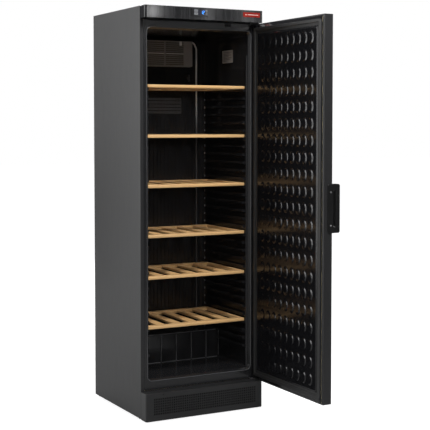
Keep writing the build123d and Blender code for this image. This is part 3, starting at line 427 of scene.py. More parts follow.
# Two beeches, because the rails' grain runs across the cabinet and the slats' from front to back
def buildBeech(name, group, quarterTurn):
    tree, shader = newMaterial(name)
    vector = objectCoords(tree)
    if quarterTurn:
        turned = tree.nodes.new("ShaderNodeMapping")
        turned.inputs["Rotation"].default_value = (0, 0, math.radians(90))
        join(vector, turned.inputs["Vector"])
        vector = turned.outputs["Vector"]
    plank = tree.nodes.new("ShaderNodeAttribute")
    plank.attribute_name = "plank"
    wood = placeGroup(tree, group, {
        "Vector": vector, "Plank": plank.outputs["Fac"], "Pale": beechFinish["pale"],
        "Warm": beechFinish["warm"], "Fleck": beechFinish["fleck"],
    })
    dress(shader, wood["Colour"], wood["Roughness"], wood["Height"], beechFinish["depth"])


# The grey conduit is light at its top and darkens on its way down: painted shade on its lower run
conduitFinish = {"shadedTone": (0.05, 0.05, 0.052, 1), "litTone": (0.80, 0.81, 0.83, 1), "between": (1.30, 1.56),
                 "depth": 0.0002}


def buildConduitMaterial():
    tree, shader = newMaterial("conduitPlastic")
    vector = objectCoords(tree)
    place = tree.nodes.new("ShaderNodeSeparateXYZ")
    join(vector, place.inputs["Vector"])
    # Lighter above, darker below: painted shade
    litTone = ramped(tree, place.outputs["Z"], *conduitFinish["between"])
    rings = noiseFactor(tree, stretched(tree, vector, (1, 1, 30)), 14, 4)
    tone = work(tree, "MULTIPLY", litTone, ramped(tree, rings, 0.2, 0.6, 0.75, 1.0))
    dress(shader, mixColour(tree, tone, conduitFinish["shadedTone"], conduitFinish["litTone"]),
          ramped(tree, rings, 0.3, 0.7, 0.30, 0.45), rings, conduitFinish["depth"])


def buildFoamMaterial():
    tree, shader = newMaterial("foamCells")
    cells = cellNode(tree, objectCoords(tree), 260).outputs["Distance"]
    dress(shader, mixColour(tree, cells, (0.84, 0.74, 0.47, 1), (0.60, 0.49, 0.27, 1)),
          ramped(tree, cells, 0, 1, 0.8, 0.95), cells, 0.0006)


def buildDisplayMaterial():
    tree, shader = newMaterial("displayGlass")
    smears = noiseFactor(tree, objectCoords(tree), 160, 5)
    dress(shader, mixColour(tree, smears, (0.004, 0.005, 0.012, 1), (0.008, 0.010, 0.022, 1)),
          ramped(tree, smears, 0.3, 0.7, 0.06, 0.14))


def buildDigitMaterial():
    tree, shader = newMaterial("digitBlue")
    glow = noiseFactor(tree, objectCoords(tree), 900, 2)
    join(mixColour(tree, glow, (0.02, 0.16, 0.75, 1), (0.05, 0.32, 1.0, 1)), shader.inputs["Base Color"])
    join(mixColour(tree, glow, (0.02, 0.17, 0.85, 1), (0.10, 0.42, 1.0, 1)), shader.inputs["Emission Color"])
    shader.inputs["Emission Strength"].default_value = 2.2
    shader.inputs["Roughness"].default_value = 0.4


def buildBoardMaterial():
    tree, shader = newMaterial("boardGreen")
    cells = cellNode(tree, stretched(tree, objectCoords(tree), (1, 1, 1.6)), 240)
    cells.distance = "MANHATTAN"
    tracks = ramped(tree, cells.outputs["Distance"], 0.42, 0.5)
    dress(shader, mixColour(tree, tracks, (0.008, 0.085, 0.03, 1), (0.03, 0.20, 0.07, 1)),
          ramped(tree, tracks, 0, 1, 0.3, 0.45), tracks, 0.00005)


# Which finish each CAD node takes where it shows
nodeFinishes = {
    "cabinetPaint": ["side_panel_left", "side_panel_right", "top_panel", "door_skin", "kick_plate"],
    "backPaint": ["back_panel", "base_frame", "rear_cover"],
    "linerGloss": ["inner_liner", "air_duct_panel"],
    "doorGloss": ["door_liner"],
    "coverGrey": ["fan_cover"],
    "fasciaGloss": ["fascia_panel", "controller_bezel"],
    "capPlastic": ["door_end_caps", "power_inlet", "starter_relay", "temperature_sensor",
                   "evaporator_fan_frames", "fan_blade_left", "fan_blade_right", "condenser_fan_blade"],
    "gripPlastic": ["door_handle", "hinge_bushes", "door_switch_body", "door_switch_plunger"],
    "sealRubber": ["door_gasket"],
    "footRubber": ["levelling_feet", "compressor_mounts"],
    "keyGrey": ["key_set", "key_light", "key_up", "key_down"],
    "badgeRed": ["badge_plate"],
    "tubeGrey": ["drip_tray"],
    "conduitPlastic": ["sensor_conduit"],
    "plateGrey": ["rating_plate"],
    "compressorBlack": ["compressor"],
    "zincBracket": ["hinge_bracket_top", "hinge_bracket_bottom", "condenser_fan_frame"],
    "screwZinc": ["hinge_screws", "hinge_pins"],
    "screwBlack": ["panel_screws", "handle_screws"],
    "finAluminium": ["evaporator", "condenser"],
    "tubeCopper": ["filter_drier", "refrigerant_lines"],
    "beechAcross": ["shelf_1", "shelf_2", "shelf_3", "shelf_4", "shelf_5", "shelf_6"],
    "foamCells": ["foam_insulation", "door_foam"],
    "displayGlass": ["controller_display"],
    "boardGreen": ["control_board"],
}

# Boxy nodes whose edges are broken a little, in metres
softEdges = {
    "top_panel": 0.0003, "fascia_panel": 0.0006, "controller_bezel": 0.0004, "door_end_caps": 0.0008,
    "door_handle": 0.0012, "hinge_bracket_top": 0.0005, "hinge_bracket_bottom": 0.0005,
    "door_switch_body": 0.0005, "door_switch_plunger": 0.0006, "fan_cover": 0.0008, "rating_plate": 0.0003,
    "starter_relay": 0.0008, "power_inlet": 0.0004,
}
edgeCare = {"weld": 0.00001, "segments": 2, "angle": 35}


def finishNodes():
    for finish, names in nodeFinishes.items():
        for name in names:
            slots = nodes[name].data.materials
            slots.clear()
            slots.append(materials[finish])
    for name, width in softEdges.items():
        weld = nodes[name].modifiers.new("weld", "WELD")
        weld.merge_threshold = edgeCare["weld"]
        bevel = nodes[name].modifiers.new("softEdges", "BEVEL")
        bevel.width = width
        bevel.segments = edgeCare["segments"]
        bevel.limit_method = "ANGLE"
        bevel.angle_limit = math.radians(edgeCare["angle"])
        bevel.harden_normals = True


# A piece from points and faces, or from a bmesh, whose normals are turned outwards
def addPiece(name, source, finish, body, smoothAngle):
    mesh = bpy.data.meshes.new(name)
    if isinstance(source, tuple):
        mesh.from_pydata(source[0], [], source[1])
    else:
        bmesh.ops.recalc_face_normals(source, faces=source.faces)
        source.to_mesh(mesh)
        source.free()
    mesh.validate()
    mesh.materials.append(materials[finish])
    mesh.polygons.foreach_set("use_smooth", [True] * len(mesh.polygons))
    mesh.set_sharp_from_angle(angle=math.radians(smoothAngle))
    piece = bpy.data.objects.new(name, mesh)
    bpy.context.scene.collection.objects.link(piece)
    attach(piece, body)
    return piece


# Quads between two rings of points, of which these are the first ones' places in the list
def bridge(faces, first, second, count):
    for place in range(count):
        following = (place + 1) % count
        faces.append((first + place, first + following, second + following, second + place))


# Quads of a grid of points that are listed row by row
def gridFaces(across, up):
    return [(a, a + 1, a + across + 1, a + across)
            for row in range(up - 1) for a in range(row * across, (row + 1) * across - 1)]


# Places in x and z of a panel's holes
def holePlaces(panel):
    columns, rows, pitch, (x, z) = panel["columns"], panel["rows"], panel["pitch"], panel["centre"]
    return [(x + (column - (columns - 1) / 2) * pitch, z + (row - (rows - 1) / 2) * pitch)
            for column in range(columns) for row in range(rows)]


def circleSteps(count):
    return [(math.cos(step / count * fullTurn), math.sin(step / count * fullTurn)) for step in range(count)]


# A flat outline in x and z, given thickness towards the back
def addPrism(shape, outline, front, thickness):
    fronts = [shape.verts.new((x, front, z)) for x, z in outline]
    backs = [shape.verts.new((x, front + thickness, z)) for x, z in outline]
    shape.faces.new(fronts)
    shape.faces.new(backs[::-1])
    for place in range(len(outline)):
        following = (place + 1) % len(outline)
        shape.faces.new((fronts[place], backs[place], backs[following], fronts[following]))


barForm = {"rounding": 2, "profile": 0.6, "cornerSteps": 5, "sharpest": 0.8}   # sharpest in radians


# A bar with rounded edges. One that also has rounded front corners comes first in its shape.
def addBar(shape, low, high, radius, tone=0.0, frontCorner=0.0):
    start = len(shape.verts)
    size = [b - a for a, b in zip(low, high)]
    centre = [(a + b) / 2 for a, b in zip(low, high)]
    matrix = Matrix.Translation(centre) @ Matrix.Diagonal((*size, 1))
    made = bmesh.ops.create_cube(shape, size=1, matrix=matrix)
    edges = list(dict.fromkeys(edge for vert in made["verts"] for edge in vert.link_edges))
    if frontCorner:
        uprights = [edge for edge in edges if all(vert.co.y < centre[1] for vert in edge.verts)
                    and abs(edge.verts[0].co.z - edge.verts[1].co.z) > radius]
        bmesh.ops.bevel(shape, geom=uprights, offset=frontCorner, segments=barForm["cornerSteps"],
                        profile=0.5, affect="EDGES")
        edges = [edge for edge in shape.edges if edge.calc_face_angle(0) > barForm["sharpest"]]
    bmesh.ops.bevel(shape, geom=edges, offset=radius, segments=barForm["rounding"],
                    profile=barForm["profile"], affect="EDGES")
    shape.verts.ensure_lookup_table()
    plank = shape.verts.layers.float.get("plank")
    if plank is not None:
        for vert in shape.verts[start:]:
            vert[plank] = tone


# Beech shelves: two rails across and, between them, the side rails and the slats
shelfWood = {
    "shelves": 6,
    "frontRail": 0.036,
    "sideRail": 0.020,
    "slatWidth": 0.040,
    "slatCount": 5,
    "slatRecess": 0.0025,    # the slats lie this far under the rails' faces
    "railRadius": 0.0024,
    "frontCorner": 0.008,
    "slatRadius": 0.0014,
    "joint": 0.0002,         # hairline where members meet
    # steps of tone from shelf to shelf, and from member to member
    "tones": {"rail": (0.37, 0.41), "side": (0.53, 0.29), "slat": (0.61, 0.43)},
}


def plankShape():
    shape = bmesh.new()
    shape.verts.layers.float.new("plank")
    return shape


def plankTone(kind, shelf, member):
    perShelf, perMember = shelfWood["tones"][kind]
    return (shelf * perShelf + member * perMember) % 1


def buildShelf(number):
    node = f"shelf_{number}"
    low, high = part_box(node)
    rail, side, joint = shelfWood["frontRail"], shelfWood["sideRail"], shelfWood["joint"]
    radius = shelfWood["slatRadius"]
    across = plankShape()
    for place, (front, back) in enumerate(((low.y, low.y + rail), (high.y - rail, high.y))):
        corner = 0 if place else shelfWood["frontCorner"]
        addBar(across, (low.x, front, low.z), (high.x, back, high.z), shelfWood["railRadius"],
               plankTone("rail", number, place), corner)
    rails = addPiece(f"{node}_rails", across, "beechAcross", node, 60)
    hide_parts(node)
    along = plankShape()
    front, back = low.y + rail + joint, high.y - rail - joint
    for place, (left, right) in enumerate(((low.x, low.x + side), (high.x - side, high.x))):
        addBar(along, (left, front, low.z), (right, back, high.z), radius, plankTone("side", number, place))
    width, count = shelfWood["slatWidth"], shelfWood["slatCount"]
    bottom, top = low.z + shelfWood["slatRecess"], high.z - shelfWood["slatRecess"]
    gap = (high.x - low.x - 2 * side - count * width) / (count + 1)
    for slat in range(count):
        left = low.x + side + gap + slat * (width + gap)
        addBar(along, (left, front, bottom), (left + width, back, top), radius,
               plankTone("slat", number, slat))
    addPiece(f"{node}_slats", along, "beechAlong", node, 60)


# Door liner: a glossy moulded field with rows of upright oval pads
doorPads = {
    "margin": 0.047,         # from the door's edges to the field
    "base": 0.0011,          # of the flange above the door's skin
    "rise": 0.0020,          # of the field above the flange round it
    "riseWidth": 0.0045,
    "corner": 0.012,
    "columns": 9,
    "columnPitch": 0.0496,
    "rows": 21,
    "rowPitch": 0.0731,
    "padHalf": (0.0195, 0.0265),   # half width and half height of a pad
    "padRise": 0.0022,
    "padRim": 0.26,          # share of the pad's half size taken by its sloping rim
    "cellsAcross": 20,
    "cellsUp": 24,
    "edgeLines": (-0.014, -0.009, -0.006, -0.0045, -0.003, -0.0015, 0, 0.004, 0.015),   # about the field's edge
    "edgeBand": 0.016,       # inside that edge the pads' own lines stop
    "thickness": 0.0012,
}


# The door's inner face: where its skin is, and its centre and half size in y and z
def doorFace():
    skinLow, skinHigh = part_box("door_skin")
    capLow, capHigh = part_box("door_end_caps")
    centre = ((capLow.y + capHigh.y) / 2, (capLow.z + capHigh.z) / 2)
    half = ((skinHigh.y - skinLow.y) / 2, (capHigh.z - capLow.z) / 2)
    return skinLow.x, centre, half


def smoothStep(value):
    value = max(0.0, min(1.0, value))
    return value * value * (3 - 2 * value)


# How far a place is from the middle of the nearest pad, in pads' half sizes
def fromPad(offset, pitch, count, half):
    step = offset / pitch + (count - 1) / 2
    return (step - max(0, min(count - 1, round(step)))) * pitch / half


def padHeight(y, z, centre, half):
    inset, corner = doorPads["margin"] + doorPads["corner"], doorPads["corner"]
    outY = max(0.0, abs(y - centre[0]) - (half[0] - inset))
    outZ = max(0.0, abs(z - centre[1]) - (half[1] - inset))
    inside = corner - math.hypot(outY, outZ)
    field = doorPads["rise"] * smoothStep(inside / doorPads["riseWidth"])
    u = fromPad(y - centre[0], doorPads["columnPitch"], doorPads["columns"], doorPads["padHalf"][0])
    v = fromPad(z - centre[1], doorPads["rowPitch"], doorPads["rows"], doorPads["padHalf"][1])
    return field + doorPads["padRise"] * smoothStep((1 - math.hypot(u, v)) / doorPads["padRim"])


def stations(centre, half, reach, pitch, count, cells):
    edge = half - doorPads["margin"]
    steps = [i * pitch / cells - count * pitch / 2 for i in range(count * cells + 1)]
    rim = [edge + offset for offset in doorPads["edgeLines"]] + [reach]
    kept = [step for step in steps if abs(step) < edge - doorPads["edgeBand"]]
    return [centre + s for s in sorted(kept + rim + [-r for r in rim])]


def buildDoorLiner():
    skin, centre, half = doorFace()
    linerLow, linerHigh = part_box("door_liner")
    skinLow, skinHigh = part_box("door_skin")
    ys = stations(centre[0], half[0], (linerHigh.y - linerLow.y) / 2,
                  doorPads["columnPitch"], doorPads["columns"], doorPads["cellsAcross"])
    zs = stations(centre[1], half[1], (skinHigh.z - skinLow.z) / 2,
                  doorPads["rowPitch"], doorPads["rows"], doorPads["cellsUp"])
    points = [(skin - doorPads["base"] - padHeight(y, z, centre, half), y, z) for z in zs for y in ys]
    source = (points, gridFaces(len(ys), len(zs)))
    liner = addPiece("door_liner_moulding", source, "doorGloss", "door", 80)
    shell = liner.modifiers.new("shell", "SOLIDIFY")
    shell.thickness = doorPads["thickness"]
    shell.offset = -1
    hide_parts("door_liner")


# Door gasket: magnet bulb, bellows and the flap that lies on the liner. Each step of the
# section is (distance in from the door's edge, height above the skin) in millimetres.
gasketSection = {
    "steps": [(17.4, 0.0), (17.0, 1.0), (17.2, 2.2), (19.4, 2.9), (19.4, 3.5), (17.3, 4.2), (17.0, 5.4),
              (17.4, 7.2), (18.6, 8.0), (21.0, 8.1), (24.5, 7.7), (28.0, 8.1), (30.6, 8.0), (31.8, 7.1),
              (32.0, 5.6), (31.6, 4.2), (29.8, 3.5), (30.0, 3.0), (32.6, 2.8), (38.0, 2.9), (43.5, 2.6),
              (46.2, 1.7), (47.0, 0.6), (46.4, 0.0)],
    "corner": 0.024,
    "cornerFall": 0.45,      # of the corner's radius for each step inwards
    "cornerLeast": 0.0015,
    "cornerSteps": 8,
}


def roundedLoop(centre, half, radius, steps):
    loop = []
    for quarter, (sideY, sideZ) in enumerate(((1, 1), (-1, 1), (-1, -1), (1, -1))):
        for step in range(steps + 1):
            angle = (quarter + step / steps) * fullTurn / 4
            loop.append((centre[0] + sideY * (half[0] - radius) + radius * math.cos(angle),
                         centre[1] + sideZ * (half[1] - radius) + radius * math.sin(angle)))
    return loop


def buildGasket():
    skin, centre, half = doorFace()
    points, faces = [], []
    for place, (inset, height) in enumerate(gasketSection["steps"]):
        inset, height = inset / 1000, height / 1000
        corner = gasketSection["corner"] - inset * gasketSection["cornerFall"]
        loop = roundedLoop(centre, (half[0] - inset, half[1] - inset),
                           max(gasketSection["cornerLeast"], corner), gasketSection["cornerSteps"])
        points += [(skin - height, y, z) for y, z in loop]
        if place:
            bridge(faces, (place - 1) * len(loop), place * len(loop), len(loop))
    gasket = addPiece("door_gasket_profile", (points, faces), "sealRubber", "door", 50)
    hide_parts("door_gasket")


# Cross-head screws, at these places in x and z
screws = {
    "kick": [(-0.214, 0.120), (0.214, 0.120)],
    "rear": [(-0.278, 0.110), (-0.278, 0.255), (0.278, 0.110), (0.278, 0.255)],
    "handle": [(0.3045, 0.895), (0.3045, 1.036)],
    "radius": 0.004,
    "handleRadius": 0.0042,
    "rise": 0.0022,
    "rearRise": 0.0009,
    "crown": 0.65,           # share of the rise lost at the rim
    "rings": 10,
    "spokes": 40,
    "skirt": 0.0006,
    "armHalf": 0.17,         # of the cross, in radii
    "armReach": 0.62,
    "armTaper": 1.15,
    "depth": 0.0011,
    "floorRise": 0.55,       # share of that depth lost at the arms' ends
}


def addCrossHead(points, faces, centre, outward, radius, rise):
    outward, centre = Vector(outward), Vector(centre)
    side = outward.orthogonal().normalized()
    up = outward.cross(side)
    first, rings, spokes = len(points) + 1, screws["rings"], screws["spokes"]
    points.append(tuple(centre + outward * (rise - screws["depth"])))
    for ring in range(1, rings + 2):
        reach = min(1.0, ring / rings)
        for across, along in circleSteps(spokes):
            u, v = reach * across, reach * along
            height = rise * (1 - reach ** 2 * screws["crown"])
            arm = min(abs(u), abs(v)) < screws["armHalf"] * (screws["armTaper"] - reach)
            if arm and reach < screws["armReach"]:
                height -= screws["depth"] * (1 - screws["floorRise"] * reach / screws["armReach"])
            if ring == rings + 1:
                height = -screws["skirt"]
            points.append(tuple(centre + (side * u + up * v) * radius + outward * height))
    for spoke in range(spokes):
        faces.append((first - 1, first + spoke, first + (spoke + 1) % spokes))
    for ring in range(rings):
        bridge(faces, first + (ring + 1) * spokes, first + ring * spokes, spokes)


def buildScrews():
    forward, backward = (0, -1, 0), (0, 1, 0)
    front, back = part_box("kick_plate")[0].y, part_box("rear_cover")[1].y
    points, faces = [], []
    for x, z in screws["kick"]:
        addCrossHead(points, faces, (x, front, z), forward, screws["radius"], screws["rise"])
    for x, z in screws["rear"]:
        addCrossHead(points, faces, (x, back, z), backward, screws["radius"], screws["rearRise"])
    heads = addPiece("panel_screw_heads", (points, faces), "screwBlack", "cabinet", 30)
    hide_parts("panel_screws")
    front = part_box("door_handle")[0].y
    points, faces = [], []
    for x, z in screws["handle"]:
        addCrossHead(points, faces, (x, front, z), forward, screws["handleRadius"], screws["rise"])
    heads = addPiece("handle_screw_heads", (points, faces), "screwZinc", "door", 30)
    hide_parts("handle_screws")


# Sloping blades in the fan cover's slots
louvre = {"fields": (-0.052, 0.052), "half": 0.0475, "pitch": 0.0094, "count": 12, "depth": 0.010,
          "top": 0.0023, "drop": 0.004472, "thickness": 0.0011, "backShare": 0.6, "inset": 0.0004}


def buildLouvres():
    low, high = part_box("fan_cover")
    middle, thick, share = (low.z + high.z) / 2, louvre["thickness"], louvre["backShare"]
    front, back = low.y + louvre["inset"], low.y + louvre["depth"]
    shape = bmesh.new()
    for centreX in louvre["fields"]:
        for blade in range(louvre["count"]):
            top = middle + (blade - (louvre["count"] - 1) / 2) * louvre["pitch"] + louvre["top"]
            lip = top - louvre["drop"]
            section = [(front, lip), (front, lip + thick), (back, top + thick * share),
                       (back, top - thick * (1 - share))]
            left, right = ([shape.verts.new((x, y, z)) for y, z in section]
                           for x in (centreX - louvre["half"], centreX + louvre["half"]))
            for corner in range(4):
                following = (corner + 1) % 4
                shape.faces.new((left[corner], left[following], right[following], right[corner]))
            shape.faces.new(left[::-1])
            shape.faces.new(right)
    addPiece("fan_cover_louvres", shape, "louvreGrey", "cabinet", 30)


# A near-white raised bar across the middle of each louvred field, a painted highlight of a louvre catching
# light, and the ribbed white clip at the cover's corner
coverTrim = {
    "bar": {"height": 0.0042, "rise": 0.0016, "sink": 0.001, "radius": 0.0012},
    "clip": {"xs": (0.0775, 0.0895), "height": 0.020, "rise": 0.0024, "sink": 0.0005, "radius": 0.0009,
             "below": 0.001},
    "rib": {"count": 3, "first": 0.004, "step": 0.006, "height": 0.0015, "inset": 0.0015, "rise": 0.0008,
            "radius": 0.0004},
}


def buildCoverTrim():
    low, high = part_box("fan_cover")
    middle = (low.z + high.z) / 2
    bar, clip, rib = coverTrim["bar"], coverTrim["clip"], coverTrim["rib"]
    shape = bmesh.new()
    for centreX in louvre["fields"]:
        addBar(shape, (centreX - louvre["half"], low.y - bar["rise"], middle - bar["height"] / 2),
               (centreX + louvre["half"], low.y + bar["sink"], middle + bar["height"] / 2), bar["radius"])
    addPiece("fan_cover_highlight_bars", shape, "highlightBarGrey", "cabinet", 30)
    shape = bmesh.new()
    left, right = clip["xs"]
    front, top = low.y - clip["rise"], high.z - clip["below"]
    addBar(shape, (left, front, top - clip["height"]), (right, low.y + clip["sink"], top), clip["radius"])
    for step in range(rib["count"]):
        z = top - rib["first"] - step * rib["step"]
        addBar(shape, (left + rib["inset"], front - rib["rise"], z - rib["height"]),
               (right - rib["inset"], front + clip["sink"], z), rib["radius"])
    addPiece("fan_cover_clip", shape, "clipWhite", "cabinet", 30)


# Rolled rims round the holes of the air intake, light grey: painted highlights round the holes
intake = {
    "centre": (0.002, 1.411), "pitch": 0.016, "columns": 14, "rows": 5, "hole": 0.0045, "width": 0.0014,
    "rise": 0.0007, "spokes": 20,
    "profile": [(0, 0.0003), (0, -0.5), (0.3, -1), (0.7, -0.8), (1, 0.1)],   # across the rim, and its rise
}


def buildIntakeRims():
    wall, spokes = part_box("air_duct_panel")[0].y, intake["spokes"]
    points, faces = [], []
    for x, z in holePlaces(intake):
        for ring, (across, forward) in enumerate(intake["profile"]):
            radius, y = intake["hole"] + across * intake["width"], wall + forward * intake["rise"]
            points += [(x + radius * a, y, z + radius * b) for a, b in circleSteps(spokes)]
            if ring:
                bridge(faces, len(points) - 2 * spokes, len(points) - spokes, spokes)
    addPiece("intake_rim_highlights", (points, faces), "paintedHighlightGrey", "cabinet", 60)


# Rounded beads of the moulded liner: upright ones on the step, seams along its edges, and the mouth's lip
linerBeads = {
    "stepFront": 0.0270, "rise": 0.0024, "turns": 8,
    "first": -0.219, "pitch": 0.081, "count": 6, "bottomGap": 0.002, "topGap": 0.005,
    "floor": 0.180, "wallGap": 0.001, "seam": 0.0030, "seamBehind": 0.003, "topSeam": 0.0021,
    "otherSeams": 0.0024, "sideReach": -0.250,
    "lip": 0.0019, "lipGap": 0.0002, "mouthCorner": 0.026, "mouthCornerSteps": 10, "mouthCentre": 0.961,
    "mouthHalf": (0.2675, 0.791),
}


def addTube(points, faces, line, radius, closed=False):
    first, count, turns = len(points), len(line), linerBeads["turns"]
    for place, spot in enumerate(line):
        before = line[place - 1] if place or closed else line[0]
        after = line[(place + 1) % count] if place < count - 1 or closed else line[-1]
        along = (Vector(after) - Vector(before)).normalized()
        side = along.cross(Vector((0, 1, 0)))
        if side.length < 0.1:                    # the line runs from front to back
            side = Vector((1, 0, 0))
        side.normalize()
        up = side.cross(along)
        points += [tuple(Vector(spot) + (side * a + up * b) * radius) for a, b in circleSteps(turns)]
    for place in range(count if closed else count - 1):
        bridge(faces, first + (place + 1) % count * turns, first + place * turns, turns)
    if not closed:
        faces.append(tuple(range(first, first + turns)))
        faces.append(tuple(range(first + (count - 1) * turns, first + count * turns))[::-1])


def buildLinerBeads():
    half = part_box("rating_plate")[1].x - linerBeads["wallGap"]
    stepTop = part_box("air_duct_panel")[0].z - linerBeads["wallGap"]
    front, floor, seam = linerBeads["stepFront"], linerBeads["floor"], linerBeads["seam"]
    back = front + linerBeads["seamBehind"]
    points, faces = [], []
    for bead in range(linerBeads["count"]):
        x = linerBeads["first"] + bead * linerBeads["pitch"]
        addTube(points, faces, [(x, front, floor + linerBeads["bottomGap"]),
                                (x, front, stepTop - linerBeads["topGap"])], linerBeads["rise"])
    top, thick = stepTop - seam / 2, linerBeads["otherSeams"]
    addTube(points, faces, [(-half, back, top), (half, back, top)], linerBeads["topSeam"])
    addTube(points, faces, [(-half, back, floor), (half, back, floor)], thick)
    for x in (-half, half):
        addTube(points, faces, [(x, back, floor), (x, back, stepTop - seam)], thick)
        addTube(points, faces, [(x, back, floor), (x, linerBeads["sideReach"], floor)], thick)
    addPiece("liner_step_beads", (points, faces), "beadGloss", "cabinet", 50)
    lip, (halfX, halfZ) = linerBeads["lip"], linerBeads["mouthHalf"]
    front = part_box("inner_liner")[0].y + lip + linerBeads["lipGap"]
    loop = roundedLoop((0, linerBeads["mouthCentre"]), (halfX - lip, halfZ - lip),
                       linerBeads["mouthCorner"] - lip, linerBeads["mouthCornerSteps"])
    points, faces = [], []
    addTube(points, faces, [(x, front, z) for x, z in loop], lip, True)
    addPiece("liner_mouth_lip", (points, faces), "beadGloss", "cabinet", 60)


# Small rounded tips where the shelf runners end at the back, light grey: painted highlights at the runners'
# ends
runnerTips = {"first": 0.2869, "pitch": 0.0374, "count": 33, "reach": 0.2405, "lean": 0.2, "below": 0.0004,
              "size": (0.0056, 0.0050, 0.0095), "back": 0.1442, "radius": 0.0018}


def buildRunnerTips():
    across, deep, tall = runnerTips["size"]
    back = runnerTips["back"]
    shape = bmesh.new()
    for side in (-1, 1):
        x = side * (runnerTips["reach"] + across * runnerTips["lean"])
        for tip in range(1, runnerTips["count"]):
            top = runnerTips["first"] + tip * runnerTips["pitch"] - runnerTips["below"]
            addBar(shape, (x - across / 2, back - deep, top - tall), (x + across / 2, back, top),
                   runnerTips["radius"])
    addPiece("runner_tip_highlights", shape, "paintedHighlightGrey", "cabinet", 60)


# Near-black turned-in frames round the kick plate's punched holes: painted shade that makes the holes look
# wider. Each ring of an edge is its distance out from the hole's side and its depth behind the plate's face.
punched = {"columns": 48, "rows": 7, "pitch": 0.0109, "hole": 0.0062, "centre": (0, 0.068),
           "rings": ((0.0009, -0.00002), (0.0007, -0.00012), (0, -0.0001), (-0.00005, 0.0006))}


def buildPunchedEdges():
    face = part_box("kick_plate")[0].y
    points, faces = [], []
    for x, z in holePlaces(punched):
        for ring, (out, inward) in enumerate(punched["rings"]):
            half = punched["hole"] / 2 + out
            points += [(x + a * half, face + inward, z + b * half) for a, b in squareCorners]
            if ring:
                bridge(faces, len(points) - 8, len(points) - 4, 4)
    addPiece("kick_hole_shade_frames", (points, faces), "paintedShadeBlack", "cabinet", 20)


# A pleated dust screen close behind the kick plate's grille, near black: it paints the shade seen through the
# grille's holes
dustScreen = {"half": 0.266, "low": 0.024, "high": 0.113, "behind": 0.0032, "pleat": 0.004,
              "depth": 0.0022, "rows": 6, "thickness": 0.0008}


def buildDustScreen():
    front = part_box("kick_plate")[0].y + dustScreen["behind"]
    columns, rows = int(2 * dustScreen["half"] / dustScreen["pleat"]), dustScreen["rows"]
    points = []
    for row in range(rows):
        z = dustScreen["low"] + (dustScreen["high"] - dustScreen["low"]) * row / (rows - 1)
        for column in range(columns + 1):
            x = -dustScreen["half"] + column * dustScreen["pleat"]
            points.append((x, front + column % 2 * dustScreen["depth"], z))
    source = (points, gridFaces(columns + 1, rows))
    screen = addPiece("kick_screen_shade", source, "paintedShadeBlack", "cabinet", 20)
    sheet = screen.modifiers.new("sheet", "SOLIDIFY")
    sheet.thickness = dustScreen["thickness"]


# Plain printed rows on the rating plate, as shares of its size
plateRows = {"lengths": (0.80, 0.62, 0.74, 0.50, 0.80, 0.66, 0.36), "height": 0.0022, "margin": 0.10,
             "top": 0.16, "span": 0.68, "proud": 0.00012, "sunk": 0.0003, "radius": 0.0001}


def buildPlateRows():
    low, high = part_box("rating_plate")
    width, tall, half = high.y - low.y, high.z - low.z, plateRows["height"] / 2
    start = high.y - width * plateRows["margin"]
    shape = bmesh.new()
    for row, share in enumerate(plateRows["lengths"]):
        down = plateRows["top"] + plateRows["span"] * row / (len(plateRows["lengths"]) - 1)
        z = high.z - tall * down
        addBar(shape, (low.x - plateRows["proud"], start - width * share, z - half),
               (low.x + plateRows["sunk"], start, z + half), plateRows["radius"])
    addPiece("rating_plate_rows", shape, "iconInk", "cabinet", 30)


# Fan rotors with twisted, cambered blades
rotorShapes = {
    "fan_blade_left": {"blades": 7, "hub": 0.015, "bore": 0.00205},
    "fan_blade_right": {"blades": 7, "hub": 0.015, "bore": 0.00205},
    "condenser_fan_blade": {"blades": 5, "hub": 0.022, "bore": 0.00305},
}
bladeForm = {
    "reach": 0.985,               # of the room it has, and so for its depth
    "depth": 0.96,
    "root": 0.97,                 # inside the hub's skin
    "width": (0.50, 0.20, 0.12),  # share of a blade's turn: at the root, gained outwards, lost at the tip
    "pitch": (0.84, 0.20),
    "sweep": 0.22,
    "camber": 0.05,
    "thickness": (0.0007, 0.0001),   # half, in the middle and added at the edges
    "cells": 8,
    "spokes": 36,
}


